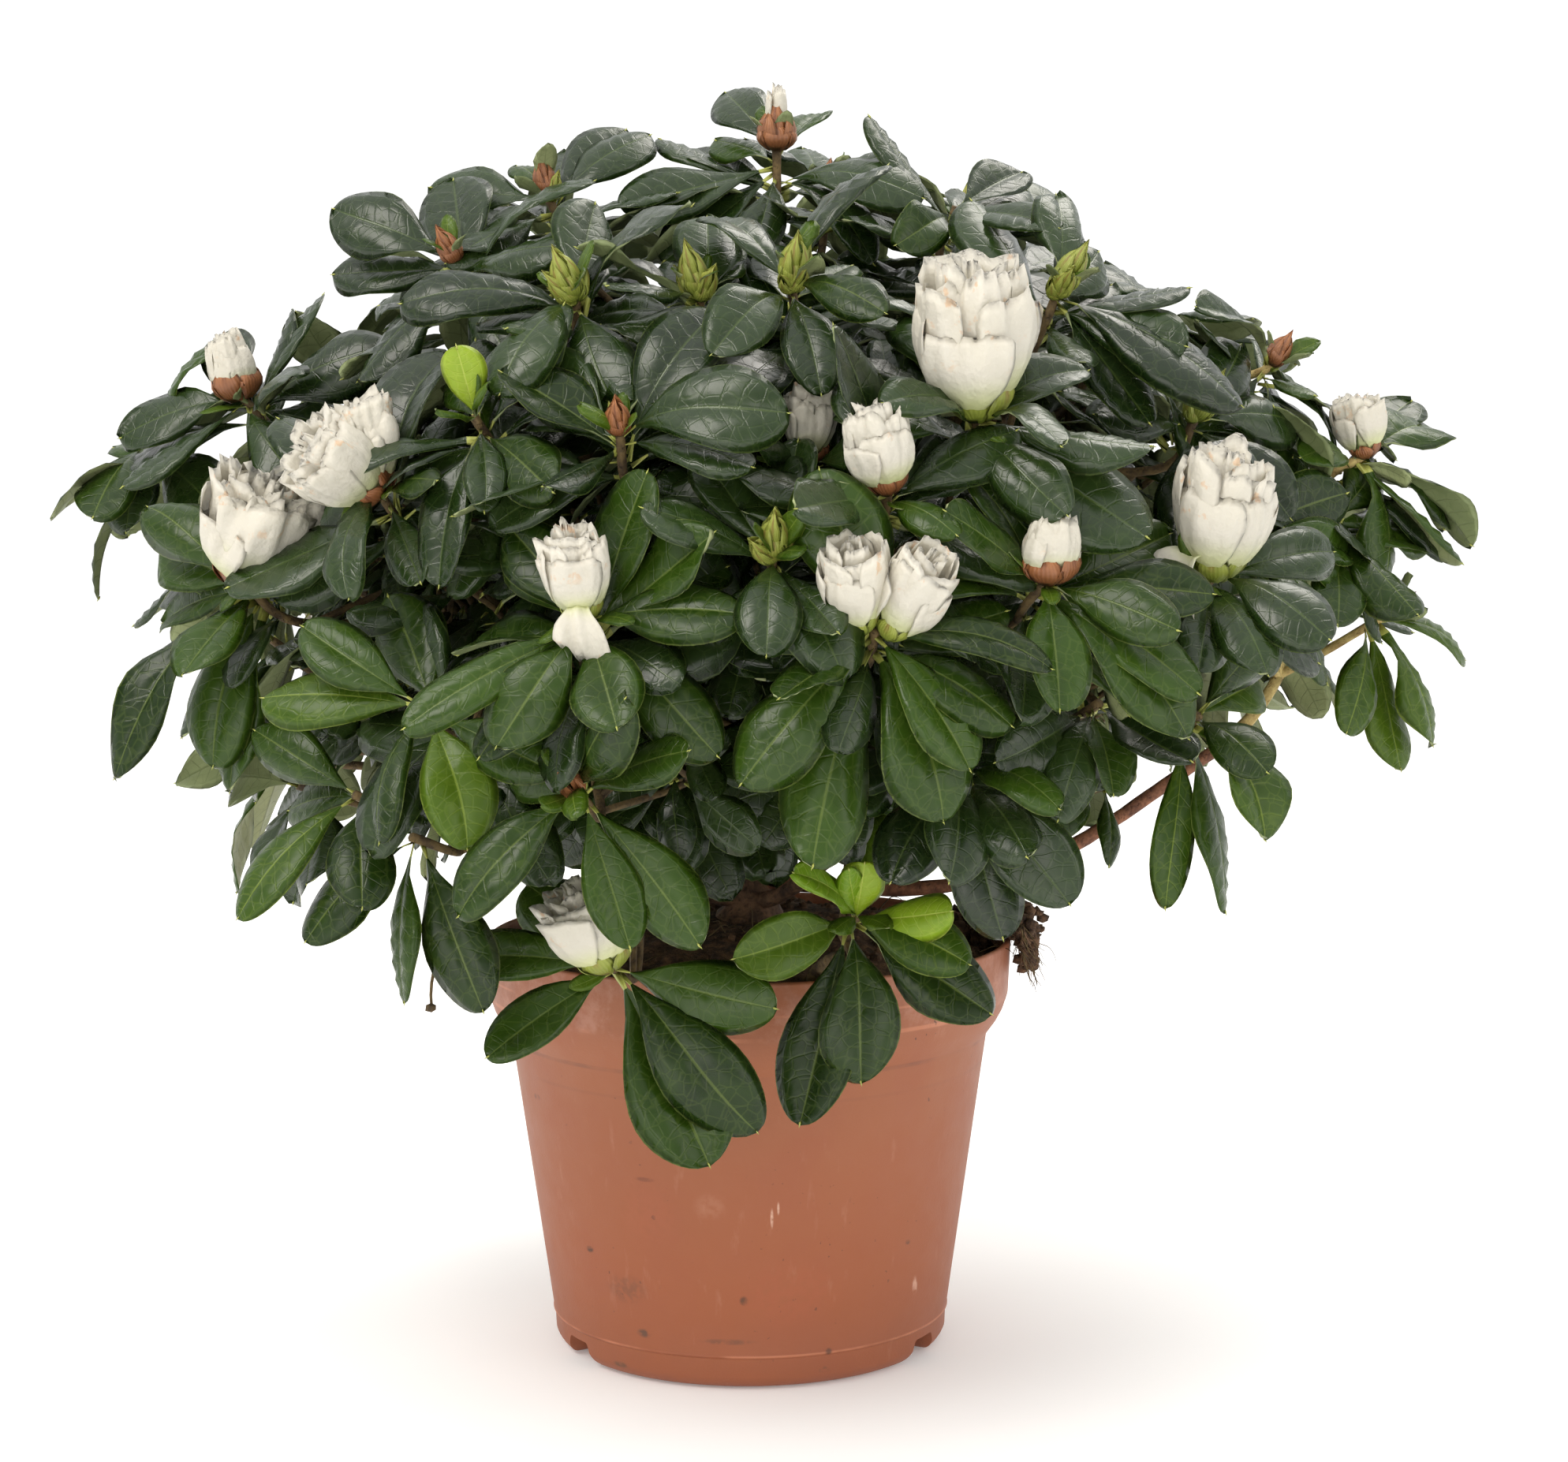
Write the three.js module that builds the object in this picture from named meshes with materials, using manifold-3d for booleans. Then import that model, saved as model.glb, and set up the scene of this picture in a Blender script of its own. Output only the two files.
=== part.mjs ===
// Azalea shrub in a round plastic nursery pot.
// Millimetres, +Z up. The front is -Y and +X is to the right. The origin is under the middle of the pot.
import * as THREE from "three";
import { mergeVertices } from "three/addons/utils/BufferGeometryUtils.js";
import Module from "manifold-3d";

const wasm = await Module();
wasm.setup();

const v3 = (x, y, z) => new THREE.Vector3(x, y, z);
const radians = THREE.MathUtils.degToRad;

// Driving dimensions of the pot
const GAP = 0.3; // between pieces that touch
const POT_SIDES = 24;
const WALL = 1.5;
const RIM_RADIUS = 65;
const RIM_TOP = 101.5;
const BAND_RADIUS = 64.3; // lower edge of the rim band
const BAND_LOW = 87.9;
const STEP_RADIUS = 59.1; // where the rim steps in to the wall
const STEP_HEIGHT = 78.4;
const STEP_INSIDE = STEP_HEIGHT + 1; // where the wall steps out on the inside
const SEAM_RADIUS = 49.2; // moulding line above the foot
const SEAM_HEIGHT = 8.4;
const FOOT_RADIUS = 44;
const FOOT_INNER = 42.4;
const FOOT_ROUNDING = [[2.9, 1.3], [4.4, 4]]; // the foot's rounded corner: out from its radius, and up
const PLATE_UNDER = 6.2; // underside of the raised base plate
const PLATE_TOP = 7.7;
const HUB_RADIUS = 10; // flat hub that reaches the ground under the middle
const HUB_SLOPE = 1;
const RING_SLOPE = 0.6; // inner side of the foot ring
const STEP_SLOPE = [2.6, 3.2]; // underside of the rim: out and up from the step
const LIP = 0.6; // rounding of the rim's top edge
const NOTCH = { first: 60, count: 3, low: 18, high: 7, height: 5.8 };
const DRAIN = { count: 6, radius: 4.5, ring: 27, sides: 8 };

// Driving dimensions of the peat
const PEAT_EDGE = 96.5; // height at the wall
const PEAT_CROWN = 106; // height in the middle
const PEAT_FLAT = 10; // radius of the flat patch under the stem
const PEAT_BUMP = 1.2;
// Peat that spills over the rim on the right: a clod, the tuft of roots that hangs from it, and its foot
const SPILL = [
  { at: [64, -6, 105.5], size: [11, 15, 6] },
  { at: [71, -9, 97.5], size: [4, 5.5, 10] },
  { at: [52, 4, 102], size: [10, 12, 6] },
];

// Driving dimensions of the stem and boughs
const STEM_FOOT = PEAT_CROWN + GAP;
const STEM_TOP = 134;
const STEM_PROFILE = [
  [8.5, STEM_FOOT],
  [6.2, 109.5],
  [5.4, 118],
  [5, 126],
  [4.2, STEM_TOP],
];
const STEM_SIDES = 10;
const BOUGH_BASE = 2; // radius where a bough leaves the stem
const BOUGH_TIP = 1.6;
const BOUGH_SIDES = 4;
const BOUGH_RINGS = [0, 0.35, 0.7, 1]; // shares of its length
const BOUGH_REACH = 0.45; // share of the way to the crown's surface at which a bough enters its foliage
const FORK_REACH = 0.62; // share at which the foliage's own stem forks
const BOUGH_BEND = 30; // degrees by which a bough leaves the stem flatter than the way to its foliage
const FLATTEST_BOUGH = -5;
const UPRIGHT = 80; // degrees from which a bough runs on from the stem's top

// The crown is a dome: half widths across and in depth, height above its middle and depth below it
const CROWN = { x: 5, y: 0, z: 150, across: 150, depth: 138, up: 145, down: 95 };

// Twigs, leaves and blooms
const TWIG_RADIUS = 1.25;
const WHORL_RADIUS = 2.4; // the thickened end of a shoot, where its leaves sit
const WHORL_LENGTH = 12;
const WHORL_FULL = 2; // how far below the tip it is thickest
const TWIG_STRAIGHT = 4; // straight length below the whorl
const TWIG_PAST = 3; // how far a twig's tip stands past its whorl
const TWIG_END = 0.8; // radius
const HEART_RADIUS = 1.45; // of a mass's stem where its twigs fork
const LEAF_LENGTH = [36, 46];
const SHOWN_LENGTH = 38; // of a leaf that points towards or away from the front
const FLATTEST = 0.96; // share of its length that a leaf shows at most
const LONGEST_SHARE = 1.5; // a shown leaf is at most this many times its span
const SHOWN_LEAN = 0.25; // cosine of a leaf's usual angle to its shoot
const SHOWN_FACE = v3(0, -0.7, 0.4); // the way that a shown leaf's upper side tends to
const LEAF_HALF_WIDTH = 0.29; // share of the length: wide, as a kite fills less than a rounded leaf
const LEAF_THICKNESS = 1 / 40;
const LEAF_ARCH = 0.08;
const LEAF_CUP = 0.6; // rise of the edges, as a share of the arch
const LEAF_WIDEST = 0.05; // how far past its middle a leaf is widest
const LEAF_STEP = 1.4; // from a leaf's root to the next one down the shoot
const LEAF_SUNK = 0.4; // how far a leaf's root passes the middle of the shoot
const LEAVES_A_SHOOT = 5;
const TURN = 137.5; // degrees from a leaf to the next one up the shoot
const LEAF_LEAN = { first: 54, step: 8, spread: 14 }; // degrees off the shoot, from the tip down
const LEAF_SPREAD = 20; // degrees by which a leaf's turn varies
const LEAF_SAG = 0.12;
const LEAF_FACE_UP = 0.3;
const SHOOT_LIFT = 0.4; // how far a shoot turns up from the dome's radius
const DOME_SHOOTS = 96; // how many shoots a whole dome would have
const SHOOT_SPACING = radians(14);
const SHOOT_SPREAD = 6; // degrees by which a shoot's place varies
const SHOOT_REACH = { least: 0.95, spread: 0.08, inset: 0.07 }; // inset where the dome is low or steep
const LOW_SHOOTS = 0; // elevations under which and over which shoots are inset
const HIGH_SHOOTS = 60;
const LOWEST_SHOOT = -5; // lowest elevation that a shoot points along
const LOWEST_SINE = -0.24;
const SEED = { place: 98690, leaves: 98706, step: 977 };
const BLOOM_SHARE = 0.2; // of the dome's shoots
const BUD_SHARE = 0.5;
const BLOOM_WIDTH = [18, 26];
const BLOOM_HEIGHT = [20, 30];
const BLOOM_LEAN = 0.4; // share of its shoot's direction in a bloom's own
const BUD = [5, 9]; // width and length
const EGG_SEAT = 0.92; // how far up from its base point an egg's middle is, in half heights
const SHRINKS = [1, 0.85, 0.7, 0.55]; // sizes tried for a bloom or bud
const CLEAR = 0.2; // kept by every leaf from the edge of its own space
const LEAST_GAP = GAP - 0.05; // between a leaf or bloom and what already stands there
const SIMPLIFY = { least: 0.12, most: 0.22, step: 0.01 }; // the smallest edges kept where pieces are joined
const ROUNDING = [1e-3, 1e-4]; // grids that the foliage's corners can be rounded to
const CROSSING = 0.4; // cubic millimetres that a leaf may share with the leaves before it
// A leaf that doesn't fit is turned about its shoot, lifted towards the shoot's tip, or shortened:
// degrees of turn, lift and share of its length
const LEAF_TRIES = [
  [0, 0, 1], [15, 0, 1], [-15, 0, 1], [0, 0.25, 1], [30, 0.1, 1], [-30, 0.1, 1], [0, 0, 0.8],
  [25, 0.3, 0.9], [-25, 0.3, 0.9], [0, 0.6, 0.9], [45, 0.4, 0.8], [-45, 0.4, 0.8], [0, 0.9, 0.75],
];

// Masses of foliage: where each one's middle lies on the dome, and the height at which its bough leaves the
// stem, or the points that its bough follows
const MASSES = [
  { name: "top", at: [0, 84], foot: STEM_TOP - 2 },
  { name: "high_front", at: [-10, 50], foot: 128.5 },
  { name: "high_right", at: [60, 50], foot: 128.5 },
  { name: "high_back_right", at: [132, 50], foot: 128.5 },
  { name: "high_back_left", at: [-140, 50], foot: 128.5 },
  { name: "high_left", at: [-72, 50], foot: 128.5 },
  { name: "front_left", at: [-33, 17], foot: 119.5 },
  { name: "front", at: [6, 19], foot: 124 },
  { name: "front_right", at: [46, 18], foot: 119.5 },
  { name: "right_back", at: [104, 18], foot: 119.5 },
  { name: "back_right", at: [152, 17], foot: 124 },
  { name: "back_left", at: [-158, 17], foot: 119.5 },
  { name: "left_back", at: [-116, 17], foot: 124 },
  { name: "left", at: [-78, 20], foot: 119.5 },
  { name: "low_left", at: [-58, -8], foot: 110.5 },
  { name: "low_back_left", at: [-122, -8], foot: 110.5 },
  { name: "low_back", at: [176, -8], foot: 110.5 },
  { name: "low_right", at: [122, -8], foot: 110.5 },
  { name: "low_front_left", at: [-22, -16], foot: 115 },
  { name: "low_front_right", at: [36, -4], foot: 110.5 },
  {
    name: "bare_branch",
    at: [80, 8],
    reach: 0.84,
    way: [[0, 0, 115], [44, -13, 115], [76, -20, 125], [112, -21, 149]],
  },
  { name: "new_growth", at: [14, -28], reach: 0.72, way: [[14, -46, 92], [15, -54, 101], [18, -65, 106.5]] },
];

// Shoots that show from the front. at: azimuth from the front, elevation and reach on the dome.
// bloom: heading in the front plane, width and height. leaves: heading in the front plane (0 is right and
// 90 is up) and the span seen from the front.
const SHOWN = [
  { at: [5, 79, 1], bud: true,
    leaves: [[130, 20], [40, 18], [155, 15], [195, 37], [220, 33], [260, 20], [320, 30], [355, 34]] },
  { at: [-56, 65, 1], bud: true, leaves: [[175, 29], [130, 12], [55, 24], [38, 29], [205, 26], [290, 16]] },
  { at: [-54, 53, 1], bud: true, leaves: [[158, 32], [182, 30], [55, 19], [10, 24], [225, 32], [300, 25]] },
  { at: [-27, 49, 1], bud: true, leaves: [[85, 22], [235, 24], [290, 24], [200, 14]] },
  { at: [3, 51, 1], bud: true, leaves: [[345, 21], [145, 26], [285, 22], [210, 22], [30, 16]] },
  { at: [-11, 53, 0.95], bud: true, leaves: [[175, 18], [245, 18], [45, 14]] },
  { at: [43, 49, 1], bud: true, leaves: [[90, 23], [327, 46], [310, 34], [40, 18], [345, 30], [160, 16]] },
  { at: [50, 66, 0.97], leaves: [[35, 19], [350, 22], [200, 16], [300, 18]] },
  { at: [82, 37, 1.03], bud: true, leaves: [[145, 23], [225, 28], [280, 30], [340, 12]] },
  { at: [82, 26, 1.08], bloom: [110, 11, 12],
    leaves: [[18, 22], [280, 30], [315, 33], [330, 28], [165, 17]] },
  { at: [45, 19, 1], bloom: [97, 22, 28], leaves: [[335, 26], [5, 30], [255, 18], [300, 20]] },
  { at: [81, 12, 1.02], bud: true, leaves: [[140, 26], [335, 28], [295, 31], [280, 34], [250, 24]] },
  { at: [42, 7, 0.97], leaves: [[50, 24], [20, 18], [330, 17], [305, 28], [285, 40], [262, 40]] },
  { at: [26, 20, 1], bloom: [95, 14, 14], leaves: [[268, 25], [328, 38], [347, 28], [142, 27], [313, 42]] },
  { at: [9, 16, 1], bloom: [80, 26, 22],
    leaves: [[303, 33], [227, 40], [348, 42], [205, 22], [248, 46], [293, 43], [327, 38]] },
  { at: [11, 28, 1.02], bloom: [115, 15, 18], leaves: [[108, 26], [20, 24], [200, 20], [330, 14]] },
  { at: [22, 35, 1.01], bloom: [97, 27, 31],
    leaves: [[345, 18], [350, 36], [325, 42], [165, 20], [315, 24]] },
  { at: [0, 23, 0.99], bud: true, leaves: [[90, 19], [263, 18], [125, 27], [10, 17], [320, 18]] },
  { at: [-16, 34, 1], bud: true, leaves: [[12, 36], [65, 17], [352, 28], [140, 25], [200, 18]] },
  { at: [-33, 35, 1], bud: true, leaves: [[130, 12], [190, 19], [92, 18], [285, 17], [252, 34], [330, 20]] },
  { at: [-17, 17, 1.01], bloom: [95, 15, 22],
    leaves: [[7, 33], [238, 30], [292, 20], [190, 42], [205, 36], [318, 36], [40, 33], [123, 28]] },
  { at: [-33, 9, 0.98], leaves: [[155, 31], [174, 35], [247, 28], [293, 28], [110, 26], [335, 27]] },
  { at: [-18, 2, 0.96], bud: true,
    leaves: [[218, 34], [62, 23], [32, 26], [287, 32], [313, 38], [160, 20]] },
  { at: [-82, 34, 1.03], bloom: [95, 11, 16],
    leaves: [[192, 31], [215, 34], [305, 27], [352, 29], [58, 32], [28, 36], [130, 22]] },
  { at: [-60, 18, 0.98], bloom: [65, 23, 27],
    leaves: [[140, 29], [162, 24], [195, 24], [235, 20], [228, 50], [248, 38], [262, 42]] },
  { at: [-89, 26, 1.13], leaves: [[235, 20], [270, 18], [330, 22], [180, 14]] },
  { at: [-44, 28, 0.97], bloom: [50, 20, 22], leaves: [[250, 22], [20, 16], [160, 20], [300, 18]] },
  { at: [-43, 0, 0.93], leaves: [[220, 35], [150, 28], [190, 18], [265, 20]] },
  { at: [-38, -4, 0.9], leaves: [[267, 34], [222, 31], [292, 38]] },
  { at: [-21, -21, 0.83], bloom: [115, 20, 22],
    leaves: [[182, 36], [345, 36], [299, 46], [306, 45], [207, 33]] },
  { at: [12, -18, 0.72],
    leaves: [[65, 23], [105, 12], [140, 18], [190, 27], [10, 20], [350, 26], [280, 34], [328, 36],
      [255, 44]] },
  { at: [20, 3, 0.86], leaves: [[305, 35], [250, 20], [350, 22]] },
  { at: [52, -2, 0.68], leaves: [[100, 22], [280, 22], [200, 16]] },
];

// A lathe, box or other closed geometry as a solid
function solidOf(geometry) {
  const bare = geometry.clone();
  bare.deleteAttribute("normal");
  bare.deleteAttribute("uv");
  const merged = mergeVertices(bare, 1e-4);
  const index = merged.index.array;
  const kept = [];
  for (let i = 0; i < index.length; i += 3) {
    const [a, b, c] = [index[i], index[i + 1], index[i + 2]];
    if (a !== b && b !== c && c !== a) kept.push(a, b, c);
  }
  const solid = new wasm.Manifold(
    new wasm.Mesh({
      numProp: 3,
      vertProperties: new Float32Array(merged.attributes.position.array),
      triVerts: new Uint32Array(kept),
    }),
  );
  if (solid.volume() <= 0) throw new Error("a " + geometry.type + " is inside out");
  return solid;
}

function geometryOf(solid) {
  const mesh = solid.getMesh();
  const geometry = new THREE.BufferGeometry();
  geometry.setAttribute("position", new THREE.BufferAttribute(new Float32Array(mesh.vertProperties), 3));
  geometry.setIndex(new THREE.BufferAttribute(new Uint32Array(mesh.triVerts), 1));
  geometry.computeVertexNormals();
  return geometry;
}

// The largest body of a solid, so that no loose scrap stays
function mainBody(solid) {
  return solid.decompose().sort((a, b) => b.volume() - a.volume())[0];
}

// Whether each edge still joins exactly two faces once the corners are rounded to this grid
function staysClosed(solid, grid) {
  const { vertProperties, triVerts } = solid.getMesh();
  const names = Array.from({ length: vertProperties.length / 3 }, (_, i) =>
    Array.from(vertProperties.subarray(3 * i, 3 * i + 3), (value) => Math.round(value / grid)).join(),
  );
  const faces = new Map();
  for (let i = 0; i < triVerts.length; i += 3) {
    const corners = [0, 1, 2].map((k) => names[triVerts[i + k]]);
    if (new Set(corners).size < 3) continue;
    corners.forEach((corner, k) => {
      const edge = [corner, corners[(k + 1) % 3]].sort().join("|");
      faces.set(edge, (faces.get(edge) ?? 0) + 1);
    });
  }
  return [...faces.values()].every((count) => count === 2);
}

// Joined pieces with their smallest edges dropped, by the first tolerance that leaves one closed body.
// Where none does, the last piece is left out.
function joined(pieces) {
  const whole = wasm.Manifold.union(pieces).asOriginal();
  for (let tolerance = SIMPLIFY.least; tolerance < SIMPLIFY.most; tolerance += SIMPLIFY.step) {
    const solid = mainBody(whole.simplify(tolerance));
    if (ROUNDING.every((grid) => staysClosed(solid, grid))) return solid;
  }
  return joined(pieces.slice(0, -1));
}

// A profile of [radius, height] pairs turned about Z
function turned(profile, sides) {
  const points = profile.map(([radius, height]) => new THREE.Vector2(radius, height));
  return new THREE.LatheGeometry(points, sides).rotateX(Math.PI / 2);
}

// A lathe whose axis is bent along a curve. radii: [share of the length, radius], from end to end.
function limb(curve, radii, sides) {
  const closed = [[radii[0][0], 0], ...radii, [radii.at(-1)[0], 0]];
  const points = closed.map(([share, radius]) => new THREE.Vector2(radius, share));
  const geometry = new THREE.LatheGeometry(points, sides);
  const position = geometry.attributes.position;
  const side = v3(0, 0, 0);
  const across = v3(0, 0, 0);
  for (let i = 0; i < position.count; i++) {
    const [x, share, z] = [position.getX(i), position.getY(i), position.getZ(i)];
    const along = curve.getTangentAt(share);
    side.crossVectors(along, Math.abs(along.z) > 0.9 ? v3(1, 0, 0) : v3(0, 0, 1)).normalize();
    across.crossVectors(side, along);
    const at = curve.getPointAt(share).addScaledVector(side, x).addScaledVector(across, z);
    position.setXYZ(i, at.x, at.y, at.z);
  }
  return solidOf(geometry);
}

// Repeatable random numbers from 0 to 1, a fresh run of them for each seed
function dice(seed) {
  let state = seed;
  return () => {
    state = (Math.imul(state, 1664525) + 1013904223) >>> 0;
    return state / 4294967296;
  };
}

// The outward direction at an azimuth from the front and an elevation
function outward(azimuth, elevation) {
  const level = Math.cos(radians(elevation));
  return v3(
    level * Math.sin(radians(azimuth)),
    -level * Math.cos(radians(azimuth)),
    Math.sin(radians(elevation)),
  );
}

// A point of the crown: a reach of 1 is on the dome's surface
function onDome(azimuth, elevation, reach) {
  const way = outward(azimuth, elevation);
  const height = way.z > 0 ? CROWN.up : CROWN.down;
  const surface = 1 / Math.hypot(way.x / CROWN.across, way.y / CROWN.depth, way.z / height);
  return v3(CROWN.x, CROWN.y, CROWN.z).addScaledVector(way, surface * reach);
}

// Pot: one turned wall and plate, with three arches in the foot ring and a ring of drain holes
function potProfile() {
  const [out, up] = STEP_SLOPE;
  return [
    [0, 0],
    [HUB_RADIUS, 0],
    [HUB_RADIUS + HUB_SLOPE, PLATE_UNDER],
    [FOOT_INNER - RING_SLOPE, PLATE_UNDER],
    [FOOT_INNER, 0],
    [FOOT_RADIUS, 0],
    ...FOOT_ROUNDING.map(([wider, height]) => [FOOT_RADIUS + wider, height]),
    [SEAM_RADIUS, SEAM_HEIGHT],
    [STEP_RADIUS, STEP_HEIGHT],
    [STEP_RADIUS + out, STEP_HEIGHT + up],
    [BAND_RADIUS, BAND_LOW],
    [RIM_RADIUS, RIM_TOP - LIP],
    [RIM_RADIUS - LIP, RIM_TOP],
    [RIM_RADIUS - WALL, RIM_TOP],
    [BAND_RADIUS - WALL, BAND_LOW],
    [STEP_RADIUS - WALL, STEP_INSIDE],
    [SEAM_RADIUS - WALL, PLATE_TOP],
    [0, PLATE_TOP],
  ];
}

function notchCutter(azimuth) {
  const { low, high, height } = NOTCH;
  const under = 3; // below the ground, so that the cut is clean
  const inset = 6; // from the foot ring's inner side, towards the middle
  const length = 16;
  const outline = new THREE.Shape();
  outline.moveTo(-low / 2, -under);
  outline.lineTo(low / 2, -under);
  outline.lineTo(low / 2, 0);
  outline.bezierCurveTo(high / 2 + 1, 0, high / 2 + 2, height, high / 2, height);
  outline.lineTo(-high / 2, height);
  outline.bezierCurveTo(-high / 2 - 2, height, -high / 2 - 1, 0, -low / 2, 0);
  outline.closePath();
  const cutter = new THREE.ExtrudeGeometry(outline, {
    depth: length,
    bevelEnabled: false,
    curveSegments: 3,
  });
  cutter.rotateX(Math.PI / 2);
  cutter.translate(0, inset - FOOT_INNER, 0);
  cutter.rotateZ(radians(azimuth));
  return solidOf(cutter);
}

function drainCutter(azimuth) {
  const hole = new THREE.CylinderGeometry(DRAIN.radius, DRAIN.radius, 4 * PLATE_TOP, DRAIN.sides);
  hole.rotateX(Math.PI / 2);
  hole.translate(0, -DRAIN.ring, 0);
  hole.rotateZ(radians(azimuth));
  return solidOf(hole);
}

function pot() {
  let solid = solidOf(turned(potProfile(), POT_SIDES));
  for (let i = 0; i < NOTCH.count; i++)
    solid = solid.subtract(notchCutter(NOTCH.first + (i * 360) / NOTCH.count));
  for (let i = 0; i < DRAIN.count; i++) solid = solid.subtract(drainCutter((i * 360) / DRAIN.count));
  return mainBody(solid);
}

// Peat: fills the pot, is mounded in the middle, and spills over the rim on the right with a root tuft
function peatHeight(radius, azimuth) {
  const share = Math.max(0, radius - PEAT_FLAT) / (RIM_RADIUS - WALL - PEAT_FLAT);
  const mound = PEAT_CROWN - (PEAT_CROWN - PEAT_EDGE) * share ** 2;
  const bumps = (Math.sin(5 * azimuth + radius / 6) + Math.sin(3 * azimuth - radius / 9)) / 2;
  return mound + PEAT_BUMP * bumps * Math.min(1, 2 * share);
}

function peat() {
  const rings = 5; // of the top
  const inner = (height) =>
    height < STEP_INSIDE
      ? THREE.MathUtils.mapLinear(height, PLATE_TOP, STEP_INSIDE, SEAM_RADIUS, STEP_RADIUS) - WALL - GAP
      : BAND_RADIUS - WALL - 2 * GAP;
  const under = PLATE_TOP + GAP;
  const edge = inner(BAND_LOW);
  const profile = [
    [0, under],
    [inner(under), under],
    [STEP_RADIUS - WALL - GAP, STEP_INSIDE],
    [edge, BAND_LOW],
  ];
  for (let i = 0; i < rings; i++) profile.push([edge - (i * (edge - PEAT_FLAT)) / (rings - 1), PEAT_EDGE]);
  profile.push([0, PEAT_EDGE]);
  const geometry = turned(profile, POT_SIDES / 2);
  const position = geometry.attributes.position;
  for (let i = 0; i < position.count; i++) {
    if (position.getZ(i) <= BAND_LOW) continue;
    const [x, y] = [position.getX(i), position.getY(i)];
    position.setZ(i, peatHeight(Math.hypot(x, y), Math.atan2(y, x)));
  }
  let solid = solidOf(geometry);
  for (const { at, size } of SPILL) {
    const clod = new THREE.SphereGeometry(1, 6, 4).rotateX(Math.PI / 2).scale(...size).translate(...at);
    solid = solid.add(solidOf(clod));
  }
  return mainBody(solid.subtract(solidOf(turned(rimWithClearance(), POT_SIDES))));
}

// The pot's rim grown by the gap, which the spilt peat keeps clear of
function rimWithClearance() {
  const below = 2; // past the rim band's lower edge on the inside
  const hanging = 12; // and on the outside
  return [
    [RIM_RADIUS - WALL - GAP, RIM_TOP + GAP],
    [BAND_RADIUS - WALL - GAP, BAND_LOW - below],
    [RIM_RADIUS + GAP, BAND_LOW - hanging],
    [RIM_RADIUS + GAP, RIM_TOP + GAP],
    [RIM_RADIUS - WALL - GAP, RIM_TOP + GAP],
  ];
}

// The short stem. extra widens it, for cutting the boughs clear of it.
function stem(extra = 0) {
  const grown = STEM_PROFILE.map(([radius, height]) => [radius + extra, height]);
  const top = STEM_TOP + extra;
  grown.at(-1)[1] = top;
  return solidOf(turned([[0, STEM_FOOT], ...grown, [0, top]], STEM_SIDES));
}

// A bough runs from the middle of the stem to where its foliage begins, and is cut clear of the stem
function boughCurve(mass) {
  if (mass.way) return new THREE.CatmullRomCurve3(mass.way.map((point) => v3(...point)));
  const [azimuth, elevation] = mass.at;
  const from = v3(0, 0, mass.foot);
  const to = onDome(azimuth, elevation, BOUGH_REACH);
  const third = from.distanceTo(to) / 3;
  const level =
    elevation > UPRIGHT ? v3(0, 0, 1) : outward(azimuth, Math.max(elevation - BOUGH_BEND, FLATTEST_BOUGH));
  const arriving = onDome(azimuth, elevation, FORK_REACH).sub(to).normalize();
  return new THREE.CubicBezierCurve3(
    from,
    from.clone().addScaledVector(level, third),
    to.clone().addScaledVector(arriving, -third),
    to,
  );
}

function bough(mass, keepOff) {
  const { lerp } = THREE.MathUtils;
  const radii = BOUGH_RINGS.map((share) => [share, lerp(BOUGH_BASE, BOUGH_TIP, share)]);
  return mainBody(limb(mass.curve, radii, BOUGH_SIDES).subtract(keepOff));
}

// Every shoot of the crown: those that show from the front, then the rest of the dome by the golden angle
function shoots() {
  const all = [...SHOWN];
  for (let i = 0; i < DOME_SHOOTS; i++) {
    const shoot = domeShoot(i);
    const way = outward(...shoot.at);
    if (all.every((other) => outward(...other.at).angleTo(way) >= SHOOT_SPACING)) all.push(shoot);
  }
  for (const shoot of all) {
    const [azimuth, elevation, reach] = shoot.at;
    shoot.tip = onDome(azimuth, elevation, reach);
    shoot.axis = outward(azimuth, Math.max(elevation, LOWEST_SHOOT)).add(v3(0, 0, SHOOT_LIFT)).normalize();
  }
  return all;
}

function domeShoot(i) {
  const roll = dice(SEED.place + SEED.step * i);
  const { lerp, radToDeg } = THREE.MathUtils;
  const sine = 1 - ((i + 0.5) * (1 - LOWEST_SINE)) / DOME_SHOOTS;
  const elevation = radToDeg(Math.asin(sine)) + SHOOT_SPREAD * (roll() - 0.5);
  const azimuth = ((i * TURN) % 360) + SHOOT_SPREAD * (roll() - 0.5);
  const inset = elevation < LOW_SHOOTS || elevation > HIGH_SHOOTS ? SHOOT_REACH.inset : 0;
  const reach = SHOOT_REACH.least + SHOOT_REACH.spread * roll() - inset;
  const kind = roll();
  const size = [lerp(...BLOOM_WIDTH, roll()), lerp(...BLOOM_HEIGHT, roll())];
  return {
    at: [azimuth, elevation, reach],
    bloom: kind < BLOOM_SHARE ? [90, ...size] : null,
    bud: kind > BUD_SHARE,
    seed: SEED.leaves + SEED.step * i,
  };
}

// A leaf that shows from the front: its heading and span give its direction, and it faces the front.
// Of the two directions with that span, the one that leans off the shoot more like a leaf is taken.
function shownLeaf(heading, span, axis) {
  const length = Math.max(span / FLATTEST, Math.min(SHOWN_LENGTH, LONGEST_SHARE * span));
  const share = span / length;
  const back = Math.sqrt(1 - share * share);
  const [x, z] = [share * Math.cos(radians(heading)), share * Math.sin(radians(heading))];
  const ways = [v3(x, -back, z), v3(x, back, z)];
  const strangeness = (way) => Math.abs(way.dot(axis) - SHOWN_LEAN);
  ways.sort((a, b) => strangeness(a) - strangeness(b));
  return { way: ways[0], length, face: SHOWN_FACE.clone().addScaledVector(axis, 0.5) };
}

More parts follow.
